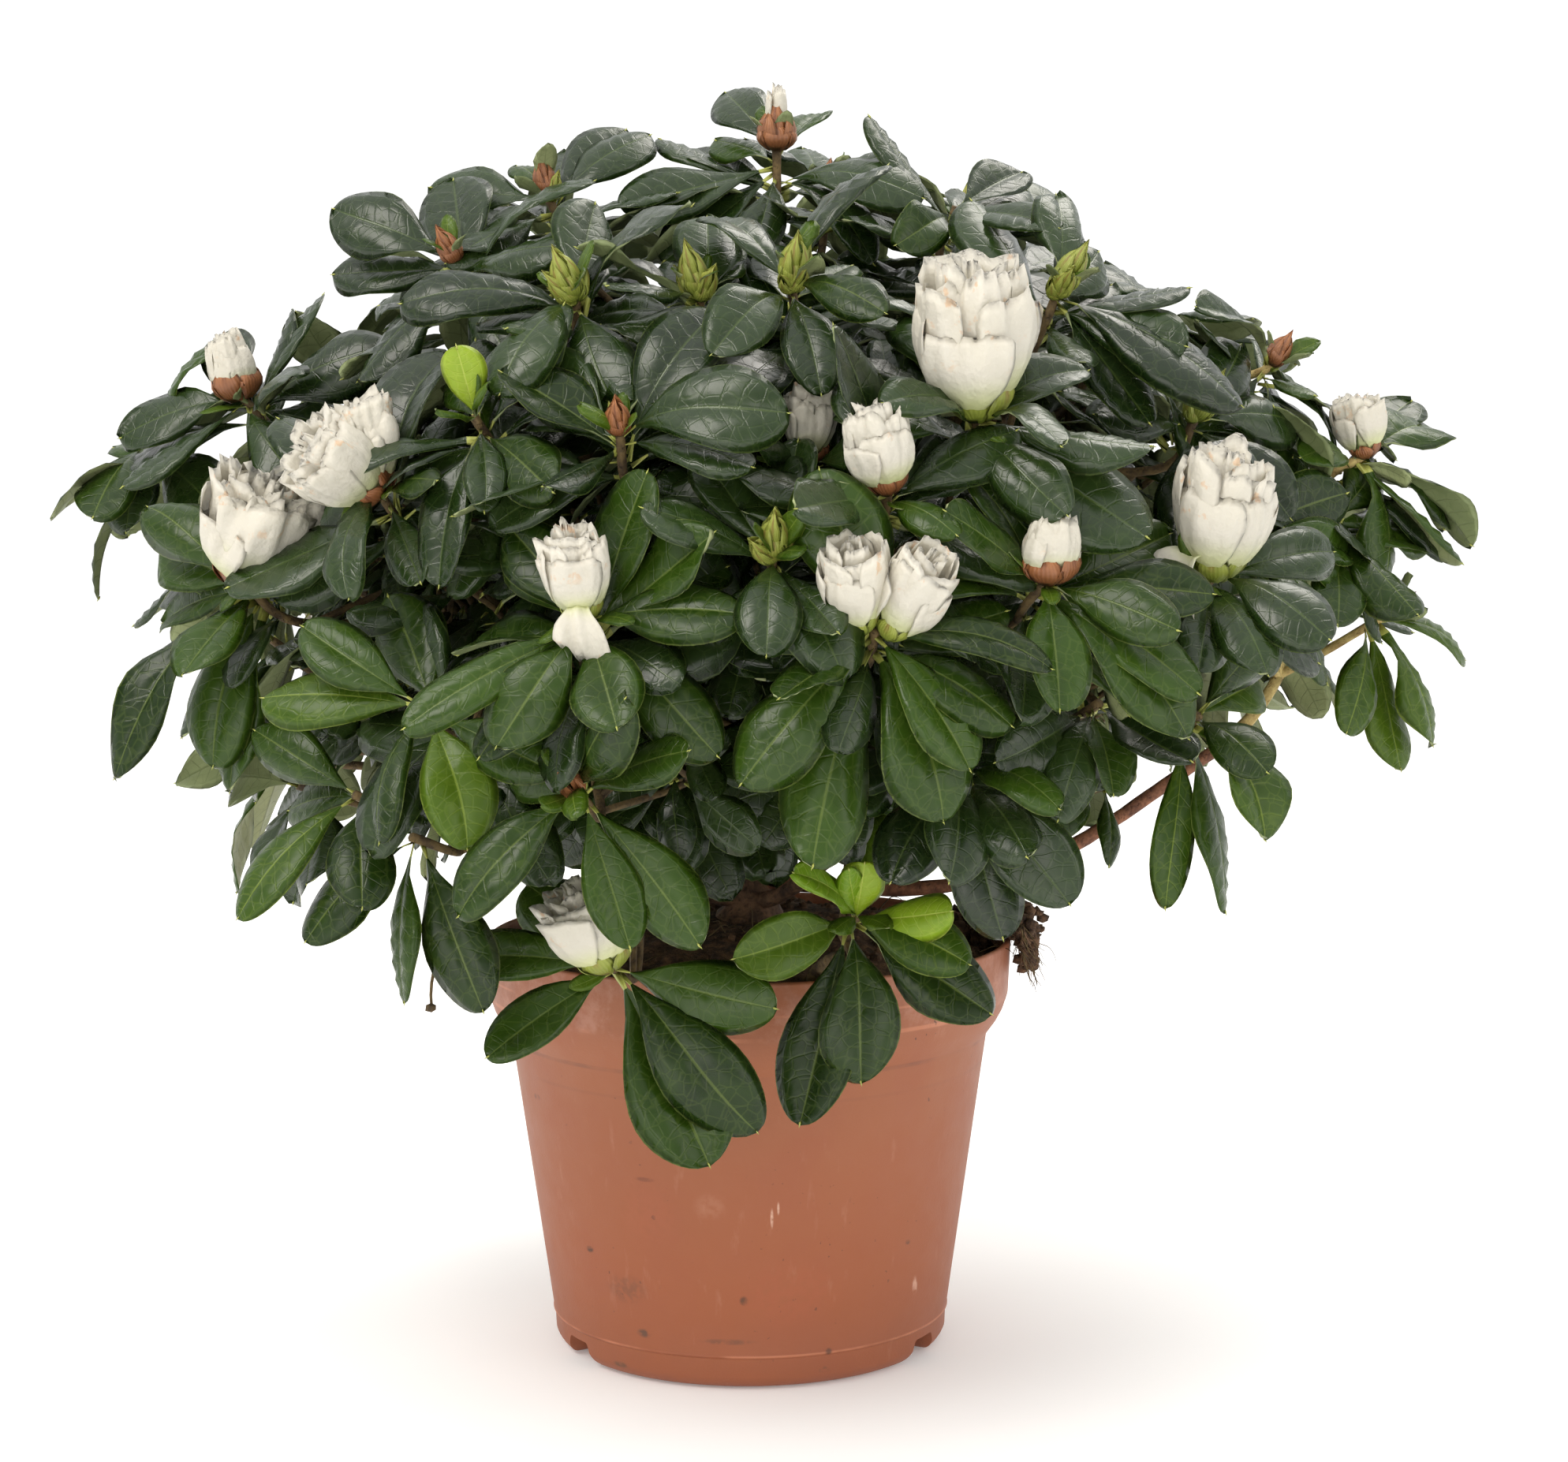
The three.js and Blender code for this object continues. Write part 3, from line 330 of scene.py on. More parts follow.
# Shoots that show from the front, by the source's rule: where each is, the tone of its leaves, the form of
# its bloom or buds, and each leaf's heading and span, with a half width where it isn't left to chance.
# A sparse shoot has no older leaves or side shoots, so that the branch behind it shows.
SHOWN = [
    {"at": (5, 79, 1), "bud": "bursting", "tone": "dark",
     "leaves": [(130, 20), (40, 18), (155, 15), (195, 37), (220, 33), (260, 20), (320, 30), (355, 34)]},
    {"at": (-56, 65, 1), "bud": "rust", "tone": "dark",
     "leaves": [(175, 29), (130, 12), (55, 24), (38, 29), (205, 26), (290, 16)]},
    {"at": (-54, 53, 1), "bud": "rust", "tone": "dark",
     "leaves": [(158, 32), (182, 30), (55, 19), (10, 24), (225, 32), (300, 25)]},
    {"at": (-27, 49, 1), "bud": "green", "tone": "dark",
     "leaves": [(85, 22), (235, 24), (290, 24), (200, 14)]},
    {"at": (3, 51, 1), "bud": "green", "tone": "dark",
     "leaves": [(345, 21), (145, 26), (285, 22), (210, 22), (30, 16)]},
    {"at": (-11, 53, 0.95), "bud": "green", "tone": "dark", "leaves": [(175, 18), (245, 18), (45, 14)]},
    {"at": (43, 49, 1), "bud": "green", "tone": "dark",
     "leaves": [(90, 23), (327, 46), (310, 34), (40, 18), (345, 30), (160, 16)]},
    {"at": (50, 66, 0.97), "tone": "dark", "leaves": [(35, 19), (350, 22), (200, 16), (300, 18)]},
    {"at": (82, 37, 1.03), "bud": "rust", "tone": "dark",
     "leaves": [(145, 23), (225, 28), (280, 30), (340, 12)]},
    {"at": (82, 26, 1.08), "bloom": (125, 13, 15), "form": "small", "tone": "mid",
     "leaves": [(18, 22), (280, 30), (315, 33), (330, 28), (165, 17)]},
    {"at": (45, 19, 1), "bloom": (97, 21, 28), "form": "flopped_left", "tone": "dark",
     "leaves": [(335, 26), (5, 30), (255, 18), (300, 20)]},
    {"at": (81, 12, 1.02), "sparse": True, "bud": "rust", "tone": "fresh",
     "leaves": [(140, 26), (335, 28), (295, 31), (280, 34), (250, 24)]},
    {"at": (42, 7, 0.97), "sparse": True, "tone": "fresh",
     "leaves": [(50, 24), (20, 18), (330, 17), (305, 28, 0.3), (285, 40, 0.2), (264, 38, 0.12)]},
    {"at": (26, 20, 1), "bloom": (95, 12.5, 15), "form": "emerging", "tone": "mid",
     "leaves": [(268, 25), (328, 38), (347, 28), (142, 27), (313, 42)]},
    {"at": (9, 16, 1), "bloom": (80, 22, 22), "facing": 0.35, "form": "double", "tone": "mid",
     "leaves": [(303, 33), (227, 40), (350, 36, 0.16), (205, 22), (248, 46), (293, 38), (327, 32)]},
    {"at": (11, 28, 1.02), "bloom": (110, 15, 19), "form": "closed", "tone": "dark",
     "leaves": [(108, 26), (20, 24), (178, 20), (330, 14)]},
    {"at": (22, 35, 1.01), "bloom": (102, 25, 33), "form": "cup", "tone": "dark",
     "leaves": [(345, 18), (350, 36), (325, 42), (165, 20), (315, 24)]},
    {"at": (0, 23, 0.99), "bud": "green", "tone": "dark",
     "leaves": [(90, 19), (263, 18), (125, 27), (320, 18)]},
    {"at": (-16, 34, 1), "bud": "rust", "tone": "dark",
     "leaves": [(12, 36), (65, 17), (352, 28), (140, 25), (200, 18)]},
    {"at": (-33, 35, 1), "bud": "lime", "tone": "dark",
     "leaves": [(130, 12), (92, 18), (285, 17), (252, 34), (330, 20)]},
    {"at": (-17, 17, 1.01), "bloom": (95, 15, 20), "form": "flopped_front", "tone": "mid",
     "leaves": [(7, 33), (238, 30), (292, 20), (205, 42, 0.14), (228, 34), (318, 36), (40, 33), (123, 28)]},
    {"at": (-33, 9, 0.98), "tone": "fresh",
     "leaves": [(155, 31), (174, 35), (247, 28), (293, 28), (110, 26), (335, 27)]},
    {"at": (-18, 2, 0.96), "bud": "rust", "tone": "mid",
     "leaves": [(218, 34), (62, 23), (32, 26), (287, 32), (313, 38), (160, 20)]},
    {"at": (-82, 34, 1.03), "bloom": (97, 12, 15.5), "form": "emerging", "tone": "dark",
     "leaves": [(192, 31), (215, 34), (305, 27), (352, 29), (58, 32), (28, 36), (130, 22)]},
    {"at": (-60, 18, 0.98), "bloom": (52, 25, 26), "facing": 0.15, "form": "open", "tone": "mid",
     "leaves": [(140, 29), (162, 24), (195, 24), (235, 20), (228, 50, 0.13), (248, 38), (262, 42, 0.18)]},
    {"at": (-89, 26, 1.13), "tone": "dark", "leaves": [(235, 20), (270, 18), (330, 22), (180, 14)]},
    {"at": (-44, 28, 0.97), "bloom": (150, 20, 21), "facing": 0.3, "form": "pair", "tone": "dark",
     "leaves": [(250, 22), (20, 16), (160, 20), (300, 18)]},
    {"at": (-43, 0, 0.93), "tone": "fresh", "leaves": [(220, 35), (150, 28), (190, 18), (265, 20)]},
    {"at": (-38, -4, 0.9), "tone": "mid", "leaves": [(267, 34), (222, 31), (292, 38)]},
    {"at": (-21, -21, 0.83), "bloom": (108, 21, 20), "facing": -0.25, "form": "cup", "tone": "mid",
     "leaves": [(182, 36), (345, 36), (299, 46), (306, 45), (207, 33), (140, 26)]},
    {"at": (12, -18, 0.72), "bud": "lime", "tone": "lime",
     "leaves": [(65, 23), (105, 12), (140, 18), (190, 27), (10, 20), (350, 26), (280, 34), (328, 36),
                (255, 44)]},
    {"at": (20, 3, 0.86), "tone": "dark",
     "leaves": [(304, 34), (250, 20), (350, 20), (282, 34), (320, 20), (225, 24)]},
    {"at": (34, 9, 0.9), "sparse": True, "tone": "dark",
     "leaves": [(325, 19), (345, 24), (272, 16), (240, 22), (12, 24), (200, 22), (100, 20)]},
    {"at": (52, -2, 0.68), "sparse": True, "tone": "dark",
     "leaves": [(100, 22), (262, 15, 0.14), (200, 16)]},
    {"at": (63, 24, 0.93), "sparse": True, "tone": "mid",
     "leaves": [(60, 20), (22, 26), (338, 28), (310, 24), (255, 20), (195, 22)]},
    {"at": (76, 22, 1), "sparse": True, "tone": "mid",
     "leaves": [(35, 20), (350, 26), (312, 26), (275, 22), (160, 18)]},
    {"at": (5, 37, 0.86), "sparse": True, "bloom": (92, 12, 16), "form": "closed", "tone": "dark",
     "leaves": [(150, 20), (20, 18), (270, 18)]},
    {"at": (63, 36, 0.93), "bud": "green", "tone": "dark",
     "leaves": [(45, 22), (355, 28), (318, 30), (262, 26), (170, 22)]},
]


# Random numbers, directions and curves


def dice(seed):
    """Repeatable random numbers from 0 to 1, a fresh run of them for each seed."""
    state = seed

    def roll():
        nonlocal state
        state = (state * 1664525 + 1013904223) % 2**32
        return state / 2**32

    return roll


def lerp(a, b, share):
    return a + (b - a) * share


def unit(vector):
    return vector / np.linalg.norm(vector)


def outward(azimuth, elevation):
    """The outward direction at an azimuth from the front and an elevation, in degrees."""
    level = math.cos(math.radians(elevation))
    return np.array([
        level * math.sin(math.radians(azimuth)),
        -level * math.cos(math.radians(azimuth)),
        math.sin(math.radians(elevation)),
    ])


def from_front(azimuth):
    """An azimuth as degrees from the front, from -180 to 180."""
    return (azimuth + 180) % 360 - 180


def on_dome(azimuth, elevation, reach):
    """A point of the crown: a reach of 1 is on the dome's surface."""
    way = outward(azimuth, elevation)
    height = CROWN["up"] if way[2] > 0 else CROWN["down"]
    surface = 1 / math.hypot(way[0] / CROWN["across"], way[1] / CROWN["depth"], way[2] / height)
    return np.array([CROWN["x"], CROWN["y"], CROWN["z"]]) + way * surface * reach


def turned_about(vector, axis, angle):
    return np.array(Matrix.Rotation(angle, 3, Vector(axis)) @ Vector(vector))


def round_way(angle, side, front):
    """The directions at some angles, counted from side towards front."""
    return np.cos(angle)[..., None] * side + np.sin(angle)[..., None] * front


def standing_frame(way):
    """Two level-ish directions across a way."""
    side = unit(np.cross(way, (0, 1, 0) if abs(way[1]) < 0.8 else (1, 0, 0)))
    return side, np.cross(way, side)


def bezier(points, steps):
    """Points along a Bezier curve of any order."""
    shares = np.linspace(0, 1, steps + 1)[:, None]
    layers = [np.array(p, float)[None, :] for p in points]
    while len(layers) > 1:
        layers = [a * (1 - shares) + b * shares for a, b in zip(layers, layers[1:])]
    return layers[0]


def through(points, steps):
    """Points along a smooth curve that passes through the given ones."""
    p = [np.array(q, float) for q in points]
    p = [2 * p[0] - p[1], *p, 2 * p[-1] - p[-2]]
    found = []
    for a, b, c, d in zip(p, p[1:], p[2:], p[3:]):
        for x in np.linspace(0, 1, steps, endpoint=False):
            bend, swing = 2 * a - 5 * b + 4 * c - d, 3 * b - a - 3 * c + d
            found.append(0.5 * (2 * b + (c - a) * x + bend * x**2 + swing * x**3))
    found.append(p[-2])
    return np.array(found)


# Meshes and objects


def in_scene(name, data):
    thing = bpy.data.objects.new(name, data)
    bpy.context.scene.collection.objects.link(thing)
    return thing


def place_piece(name, mesh, slot, nodes):
    piece = in_scene(name, mesh)
    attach(piece, "root")
    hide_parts(*nodes)


def mesh_of(name, points, faces):
    """A mesh from points in millimetres."""
    mesh = bpy.data.meshes.new(name)
    mesh.from_pydata((np.array(points) * MM).tolist(), [], faces)
    return mesh


def quads(grid):
    """The corners of each cell of a grid of point numbers."""
    return np.stack([grid[:-1, :-1], grid[:-1, 1:], grid[1:, 1:], grid[1:, :-1]], -1).reshape(-1, 4)


def grid_places(rows, columns):
    """The place in a unit square of each corner of the cells of a grid."""
    across, along = np.meshgrid(np.linspace(0, 1, columns), np.linspace(0, 1, rows))
    place = np.stack([across, along], -1).reshape(-1, 2)
    return place[quads(np.arange(rows * columns).reshape(rows, columns)).ravel()]


class Pile:
    """Collects small pieces of one kind and makes one mesh of them."""

    def __init__(self, name, materials, slot, nodes):
        self.name, self.materials, self.slot, self.nodes = name, materials, slot, nodes
        self.points, self.loops, self.sizes, self.looks = [], [], [], []
        self.places, self.cells, self.shades = [], [], []
        self.count, self.pieces = 0, 0

    def add(self, points, faces, looks, places, shade=0.5):
        """faces: arrays of corner numbers, one array for each face size. looks: a material's name, or the
        number of each face's material. places: each corner's place in the piece's own unit square."""
        corners = np.concatenate([f.ravel() for f in faces])
        sizes = np.concatenate([np.full(len(f), f.shape[1]) for f in faces])
        if isinstance(looks, str):
            looks = np.full(len(sizes), self.materials.index(looks))
        self.points.append(points)
        self.loops.append(corners + self.count)
        self.sizes.append(sizes)
        self.looks.append(looks)
        self.places.append(places)
        self.cells.append(np.full(len(corners), self.pieces))
        self.shades.append(np.full(len(points), shade))
        self.count += len(points)
        self.pieces += 1

    def bake_places(self, margin=0.03):
        """Each corner's place in the bake map, where every small piece has a cell to itself."""
        side = math.ceil(math.sqrt(self.pieces))
        cells = np.concatenate(self.cells)
        corner = np.stack([cells % side, cells // side], 1)
        return (corner + margin + (1 - 2 * margin) * np.concatenate(self.places)) / side

    def make(self):
        points = np.concatenate(self.points) * MM
        loops = np.concatenate(self.loops)
        sizes = np.concatenate(self.sizes)
        mesh = bpy.data.meshes.new(self.name)
        mesh.vertices.add(len(points))
        mesh.vertices.foreach_set("co", points.astype(np.float32).ravel())
        mesh.loops.add(len(loops))
        mesh.loops.foreach_set("vertex_index", loops.astype(np.int32))
        mesh.polygons.add(len(sizes))
        mesh.polygons.foreach_set("loop_start", (np.cumsum(sizes) - sizes).astype(np.int32))
        mesh.polygons.foreach_set("material_index", np.concatenate(self.looks).astype(np.int32))
        mesh.polygons.foreach_set("use_smooth", np.ones(len(sizes), bool))
        mesh.update(calc_edges=True)
        for name, uv in (("piece", np.concatenate(self.places)), ("OFBake", self.bake_places())):
            mesh.uv_layers.new(name=name).data.foreach_set("uv", uv.astype(np.float32).ravel())
        shade = mesh.attributes.new("shade", "FLOAT", "POINT")
        shade.data.foreach_set("value", np.concatenate(self.shades).astype(np.float32))
        mesh.validate()
        for material in self.materials:
            mesh.materials.append(LOOKS[material])
        place_piece(self.name, mesh, self.slot, self.nodes)


class Blade:
    """The faces of a thin shell over a grid: an upper and an under side that share their rim."""

    def __init__(self, rows, columns):
        self.rows, self.columns = rows, columns
        grid = np.arange((rows + 1) * (columns + 1)).reshape(rows + 1, columns + 1)
        under = grid.copy()
        inner = (rows - 1) * (columns - 1)
        under[1:-1, 1:-1] = grid.size + np.arange(inner).reshape(rows - 1, columns - 1)
        flat, back = self.triangles(grid), self.triangles(under)
        # A triangle that lies wholly on the rim is the same on both sides, so only the upper side has it.
        own = (flat != back).any(1)
        self.faces = [np.concatenate([flat, back[own, ::-1]])]
        self.corners = np.concatenate([flat, flat[own, ::-1]]).ravel()
        self.upper = len(flat)
        row = np.repeat(np.arange(rows), 2 * columns)
        self.row = np.concatenate([row, row[own]])

    @staticmethod
    def triangles(grid):
        return quads(grid)[:, [[0, 1, 2], [0, 2, 3]]].reshape(-1, 3)

    def points(self, grid, thickness):
        """grid: rows + 1 by columns + 1 points of the upper side."""
        normal = np.cross(np.gradient(grid, axis=1), np.gradient(grid, axis=0))
        normal /= np.maximum(np.linalg.norm(normal, axis=2, keepdims=True), 1e-9)
        under = (grid - normal * thickness)[1:-1, 1:-1]
        return np.concatenate([grid.reshape(-1, 3), under.reshape(-1, 3)])

    def places(self, across, along):
        """Corner places: the upper side has the left half of the unit square and the under side the right."""
        flat = np.stack([across.ravel() / 2, along.ravel()], 1)[self.corners]
        flat[3 * self.upper :, 0] += 0.5
        return flat


LEAF_COLUMNS = np.array([-1, -0.74, -0.42, -0.1, 0, 0.1, 0.42, 0.74, 1])
COARSE_COLUMNS = np.array([-1, -0.55, 0, 0.55, 1])
FINE = Blade(15, 8)
COARSE = Blade(9, 4)
SMALL = Blade(6, 4)
PETAL = Blade(9, 20)
PLAIN_PETAL = Blade(6, 10)
SIDES = {
    "count": 4,
    "spread": 30,
    "reach": (0.58, 0.84),
    "leaves": 6,
    "length": 0.72,
    "lowest": 4,
    "blade": COARSE,
}
INNER = {
    "count": 8,
    "spread": 46,
    "reach": (0.3, 0.62),
    "leaves": 7,
    "length": 0.66,
    "lowest": -4,
    "blade": SMALL,
}


def tube_frames(way):
    """A side and a normal at each point of a way, turning as little as they can."""
    tangent = np.gradient(way, axis=0)
    tangent /= np.linalg.norm(tangent, axis=1, keepdims=True)
    side = np.cross(tangent[0], (0, 0, 1) if abs(tangent[0][2]) < 0.9 else (1, 0, 0))
    sides = []
    for t in tangent:
        side = unit(side - t * np.dot(side, t))
        sides.append(side)
    sides = np.array(sides)
    return sides, np.cross(tangent, sides)


def tube(pile, way, radii, look, sides, relief, seed=1, shade=0.5):
    """A closed tube along a way. relief is the depth of its bark as a share of the radius."""
    steps = len(way)
    radii = np.interp(np.linspace(0, 1, steps), np.linspace(0, 1, len(radii)), radii)
    side, normal = tube_frames(way)
    angle = np.arange(sides) * FULL_TURN / sides
    row = np.arange(steps)[:, None]
    roll = dice(seed)
    bark = np.zeros((steps, sides))
    for knots, turns in BARK_WAVES:
        bark += np.sin(turns * angle + knots * row + 6.28 * roll())
    ring = radii[:, None] * (1 + relief * bark / 3)
    points = way[:, None] + ring[..., None] * round_way(angle, side[:, None], normal[:, None])
    points = np.concatenate([points.reshape(-1, 3), way[:1], way[-1:]])
    number = np.arange(steps * sides).reshape(steps, sides)[:, np.arange(sides + 1) % sides]
    low, high = number[0], number[-1]
    foot = np.full(sides, steps * sides)
    ends = [np.stack([foot, low[1:], low[:-1]], 1), np.stack([foot + 1, high[:-1], high[1:]], 1)]
    walls = grid_places(steps, sides + 1) * (1, 0.94) + (0, 0.03)
    places = np.concatenate([walls, np.full((6 * sides, 2), 0.01)])
    pile.add(points, [quads(number), np.concatenate(ends)], look, places, shade)


# Leaves


def leaf_outline(along):
    """Half width along the blade, as a share of the widest: a wedge that ends in a round tip."""
    foot = np.sin(0.5 * math.pi * np.clip(along / WIDEST, 0, 1)) ** 1.25
    tip = np.cos(0.5 * math.pi * np.clip((along - WIDEST) / (1 - WIDEST), 0, 1)) ** 0.5
    return np.maximum(np.where(along < WIDEST, foot, tip), 0.03)


def leaf(pile, root, way, face, length, tone, roll, half_width=None, blade=FINE):
    """One leaf from its root: way is where it points and face is what its upper side tends to."""
    up = unit(face - way * np.dot(face, way))
    tilt = FACE_SPREAD * (roll() + roll() - 1)
    up = up * math.cos(tilt) + np.cross(way, up) * math.sin(tilt)
    side = np.cross(way, up)
    half_width = half_width or lerp(*HALF_WIDTH, roll())
    arch, cup, fold, sweep, twist, wave = [lerp(*span, roll()) for span in LEAF_FORM.values()]
    phase, shade = 6.28 * roll(), roll()
    columns = LEAF_COLUMNS if blade is FINE else COARSE_COLUMNS
    rows = np.arange(blade.rows + 1)[:, None]
    stalk = rows == 0
    across = np.broadcast_to(columns, (blade.rows + 1, len(columns)))
    off = np.abs(across)
    share = np.maximum(rows - 1, 0) / (blade.rows - 1)
    slanted = np.minimum(share + VEIN_SLANT * off**1.3 * np.sin(math.pi * share), 1)
    along = 1 - (1 - slanted) ** 1.3
    width = np.where(stalk, PETIOLE_WIDTH, leaf_outline(along) * half_width)
    distance = np.where(stalk, 0, PETIOLE + (1 - PETIOLE) * along)
    middle = np.sin(math.pi * share)
    x = across * width
    z = arch * 4 * distance * (1 - distance)
    z = z + width * np.where(stalk, 0, fold * off - cup * off**2.6)
    z += VEIN_RELIEF * np.where(rows % 2 == 0, -1, 1) * np.sin(math.pi * off) * middle
    z -= MIDRIB_DEPTH * np.exp(-((across / 0.12) ** 2)) * middle
    z += wave * np.sin(9 * along + phase + 2 * np.sign(across)) * off**3
    lean = math.radians(twist) * distance
    x, z = x * np.cos(lean) - z * np.sin(lean), z * np.cos(lean) + x * np.sin(lean)
    x = x + sweep * distance**2
    grid = root + length * (distance[..., None] * way + x[..., None] * side + z[..., None] * up)
    thickness = LEAF_THICKNESS * np.where(stalk, 3, 1)[..., None]
    top, under = pile.materials.index(tone), pile.materials.index("under")
    looks = np.where(np.arange(len(blade.row)) < blade.upper, top, under)
    looks = np.where(blade.row == 0, pile.materials.index("stalk"), looks)
    places = blade.places(0.5 + 0.5 * across, np.broadcast_to(share, across.shape))
    pile.add(blade.points(grid, thickness), blade.faces, looks, places, shade)
    if blade is FINE:
        mucro(pile, grid[-1, len(columns) // 2] - way * MUCRO["sunk"], way, side, up)


def mucro(pile, base, way, side, up):
    """The small yellow point at a leaf's tip."""
    ring = [base + across * MUCRO["half"] for across in (side, up, -side, -up)]
    points = np.array([*ring, base + way * MUCRO["point"], base - way * MUCRO["root"]])
    faces = [(i, (i + 1) % 4, 4) for i in range(4)] + [((i + 1) % 4, i, 5) for i in range(4)]
    pile.add(points, [np.array(faces)], "stalk", np.full((24, 2), 0.5))


def shown_leaf(heading, span, axis):
    """A leaf that shows from the front: way, length and face, from its heading and span."""
    length = max(span / FLATTEST, min(SHOWN_LENGTH, LONGEST_SHARE * span))
    share = span / length
    back = math.sqrt(1 - share * share)
    x, z = share * math.cos(math.radians(heading)), share * math.sin(math.radians(heading))
    ways = (np.array([x, y, z]) for y in (-back, back))
    way = min(ways, key=lambda way: abs(np.dot(way, axis) - SHOWN_LEAN))
    return way, length, SHOWN_TO_VIEW * np.array(SHOWN_FACE) + axis


def rule_leaves(axis, seed, first, count):
    """The shoot's leaves by the golden angle, from number first on: way, length and face."""
    roll = dice(seed)
    side = unit(np.cross((0, 0, 1), axis))
    across = np.cross(axis, side)
    start = 360 * roll()
    found = []
    for k in range(first + count):
        turn = math.radians(start + k * TURN + LEAF_SPREAD * (roll() - 0.5))
        lean = min(LEAF_LEAN["first"] + LEAF_LEAN["step"] * k, LEAF_LEAN["most"])
        lean = math.radians(lean + LEAF_LEAN["spread"] * (roll() - 0.5))
        way = axis * math.cos(lean)
        way = way + side * math.sin(lean) * math.cos(turn) + across * math.sin(lean) * math.sin(turn)
        way[2] -= LEAF_SAG
        found.append((unit(way), lerp(*LEAF_LENGTH, roll()), axis + np.array([0, 0, FACE_LIFT])))
    return found[first:]


# Shoots and limbs


def shoot_axis(azimuth, elevation):
    """The way a shoot grows: outward and a little up, and never far below level."""
    return unit(outward(azimuth, max(elevation, LOWEST_SHOOT)) + np.array([0, 0, SHOOT_LIFT]))


def shoots():
    found = [dict(row, seed=SEED["shown"] + SEED["step"] * i, shown=True) for i, row in enumerate(SHOWN)]
    for i in range(DOME_SHOOTS):
        shoot = dome_shoot(i)
        way = outward(*shoot["at"][:2])
        apart = [math.acos(min(1, np.dot(outward(*other["at"][:2]), way))) for other in found]
        if min(apart) >= SHOOT_SPACING:
            found.append(shoot)
    found = [set_back(shoot) for shoot in found if not is_open(shoot)]
    for shoot in found:
        shoot["tip"] = on_dome(*shoot["at"])
        shoot["axis"] = shoot_axis(*shoot["at"][:2])
    return found


def dome_shoot(i):
    roll = dice(SEED["place"] + SEED["step"] * i)
    sine = 1 - ((i + 0.5) * (1 - LOWEST_SINE)) / DOME_SHOOTS
    elevation = math.degrees(math.asin(sine)) + SHOOT_SPREAD * (roll() - 0.5)
    azimuth = (i * TURN) % 360 + SHOOT_SPREAD * (roll() - 0.5)
    inset = SHOOT_REACH["inset"] if elevation < LOW_SHOOTS or elevation > HIGH_SHOOTS else 0
    reach = SHOOT_REACH["least"] + SHOOT_REACH["spread"] * roll() - inset
    kind = roll()
    size = (lerp(*BLOOM_WIDTH, roll()), lerp(*BLOOM_HEIGHT, roll()))
    return {
        "at": (azimuth, elevation, reach),
        "bloom": (90, *size) if kind < BLOOM_SHARE and elevation < HIGHEST_BLOOM else None,
        "form": DOME_FORMS[i % len(DOME_FORMS)],
        "bud": ("green", "rust")[i % 2] if kind > BUD_SHARE else None,
        "tone": "mid" if elevation < MID_TONE_BELOW and kind > 0.3 else "dark",
        "seed": SEED["leaves"] + SEED["step"] * i,
        "shown": False,
    }


def is_open(shoot):
    """Whether the photo shows sky or other shoots where a shoot of the rule would be."""
    azimuth, elevation, _ = shoot["at"]
    before = OPEN_FRONT["from"] < from_front(azimuth) < OPEN_FRONT["to"]
    return not shoot["shown"] and elevation < OPEN_FRONT["below"] and before


def set_back(shoot):
    """A shoot of the rule, set deeper in the crown and with no bud where the photo's own stand before it."""
    azimuth, elevation, reach = shoot["at"]
    if shoot["shown"] or abs(from_front(azimuth)) > FRONT:
        return shoot
    return dict(shoot, at=(azimuth, elevation, reach * SET_BACK), bloom=None, bud=None, tone="dark")


def bough_way(mass):
    if "way" in mass:
        return through(mass["way"], 12)
    azimuth, elevation = mass["at"]
    start = np.array([0, 0, mass["foot"]])
    end = on_dome(azimuth, elevation, BOUGH_REACH)
    third = np.linalg.norm(end - start) / 3
    level = outward(azimuth, max(elevation - BOUGH_BEND, FLATTEST_BOUGH))
    if elevation > UPRIGHT:
        level = np.array([0, 0, 1])
    arriving = unit(on_dome(azimuth, elevation, FORK_REACH) - end)
    return bezier([start, start + level * third, end - arriving * third, end], 30)


def mass_stem_way(mass):
    start, tangent = mass["bough"][-1], unit(mass["bough"][-1] - mass["bough"][-2])
    half = np.linalg.norm(mass["heart"] - start) / 2
    return bezier([start - tangent * 0.5, start + tangent * half, mass["heart"]], 8)


def along_shoot(shoot, distance):
    return shoot["tip"] + shoot["axis"] * distance


def twig_way(mass, shoot):
    bend = along_shoot(shoot, -WHORL_LENGTH - TWIG_STRAIGHT)
    return through([mass["heart"], bend, shoot["tip"]], 7)


def bloom_way(shoot):
    heading = math.radians(shoot["bloom"][0])
    flat = np.array([math.cos(heading), -shoot.get("facing", 0), math.sin(heading)])
    return unit(flat + BLOOM_LEAN * shoot["axis"])


def fill_shoots(at, seed, kind, fork):
    """Finer shoots that fork off a twig or a mass's stem and fill the space under the crown's surface."""
    found = []
    azimuth, elevation, reach = at
    count = kind["count"] if elevation > 0 else kind["count"] // 2
    for j in range(count):
        roll = dice(SEED["side"] + seed + 13 * j)
        turn = azimuth + kind["spread"] * (roll() - 0.5) / max(0.3, math.cos(math.radians(elevation)))
        rise = max(kind["lowest"], elevation + kind["spread"] * (roll() - 0.5))
        tip = on_dome(turn, rise, min(reach, 1) * lerp(*kind["reach"], roll()))
        start = fork[int(lerp(0.2, 0.6, roll()) * (len(fork) - 1))]
        shoot = {"tip": tip, "axis": shoot_axis(turn, rise), "fork": start, "seed": seed + 7919 * (j + 1)}
        found.append({**shoot, "kind": kind})
    return found


# Blooms and buds


def grid_of(blade):
    """Where each point of a blade lies: across from -1 to 1, and along from 0 to 1."""
    across = np.linspace(-1, 1, blade.columns + 1)[None, :]
    along = np.linspace(0, 1, blade.rows + 1)[:, None]
    return across, along


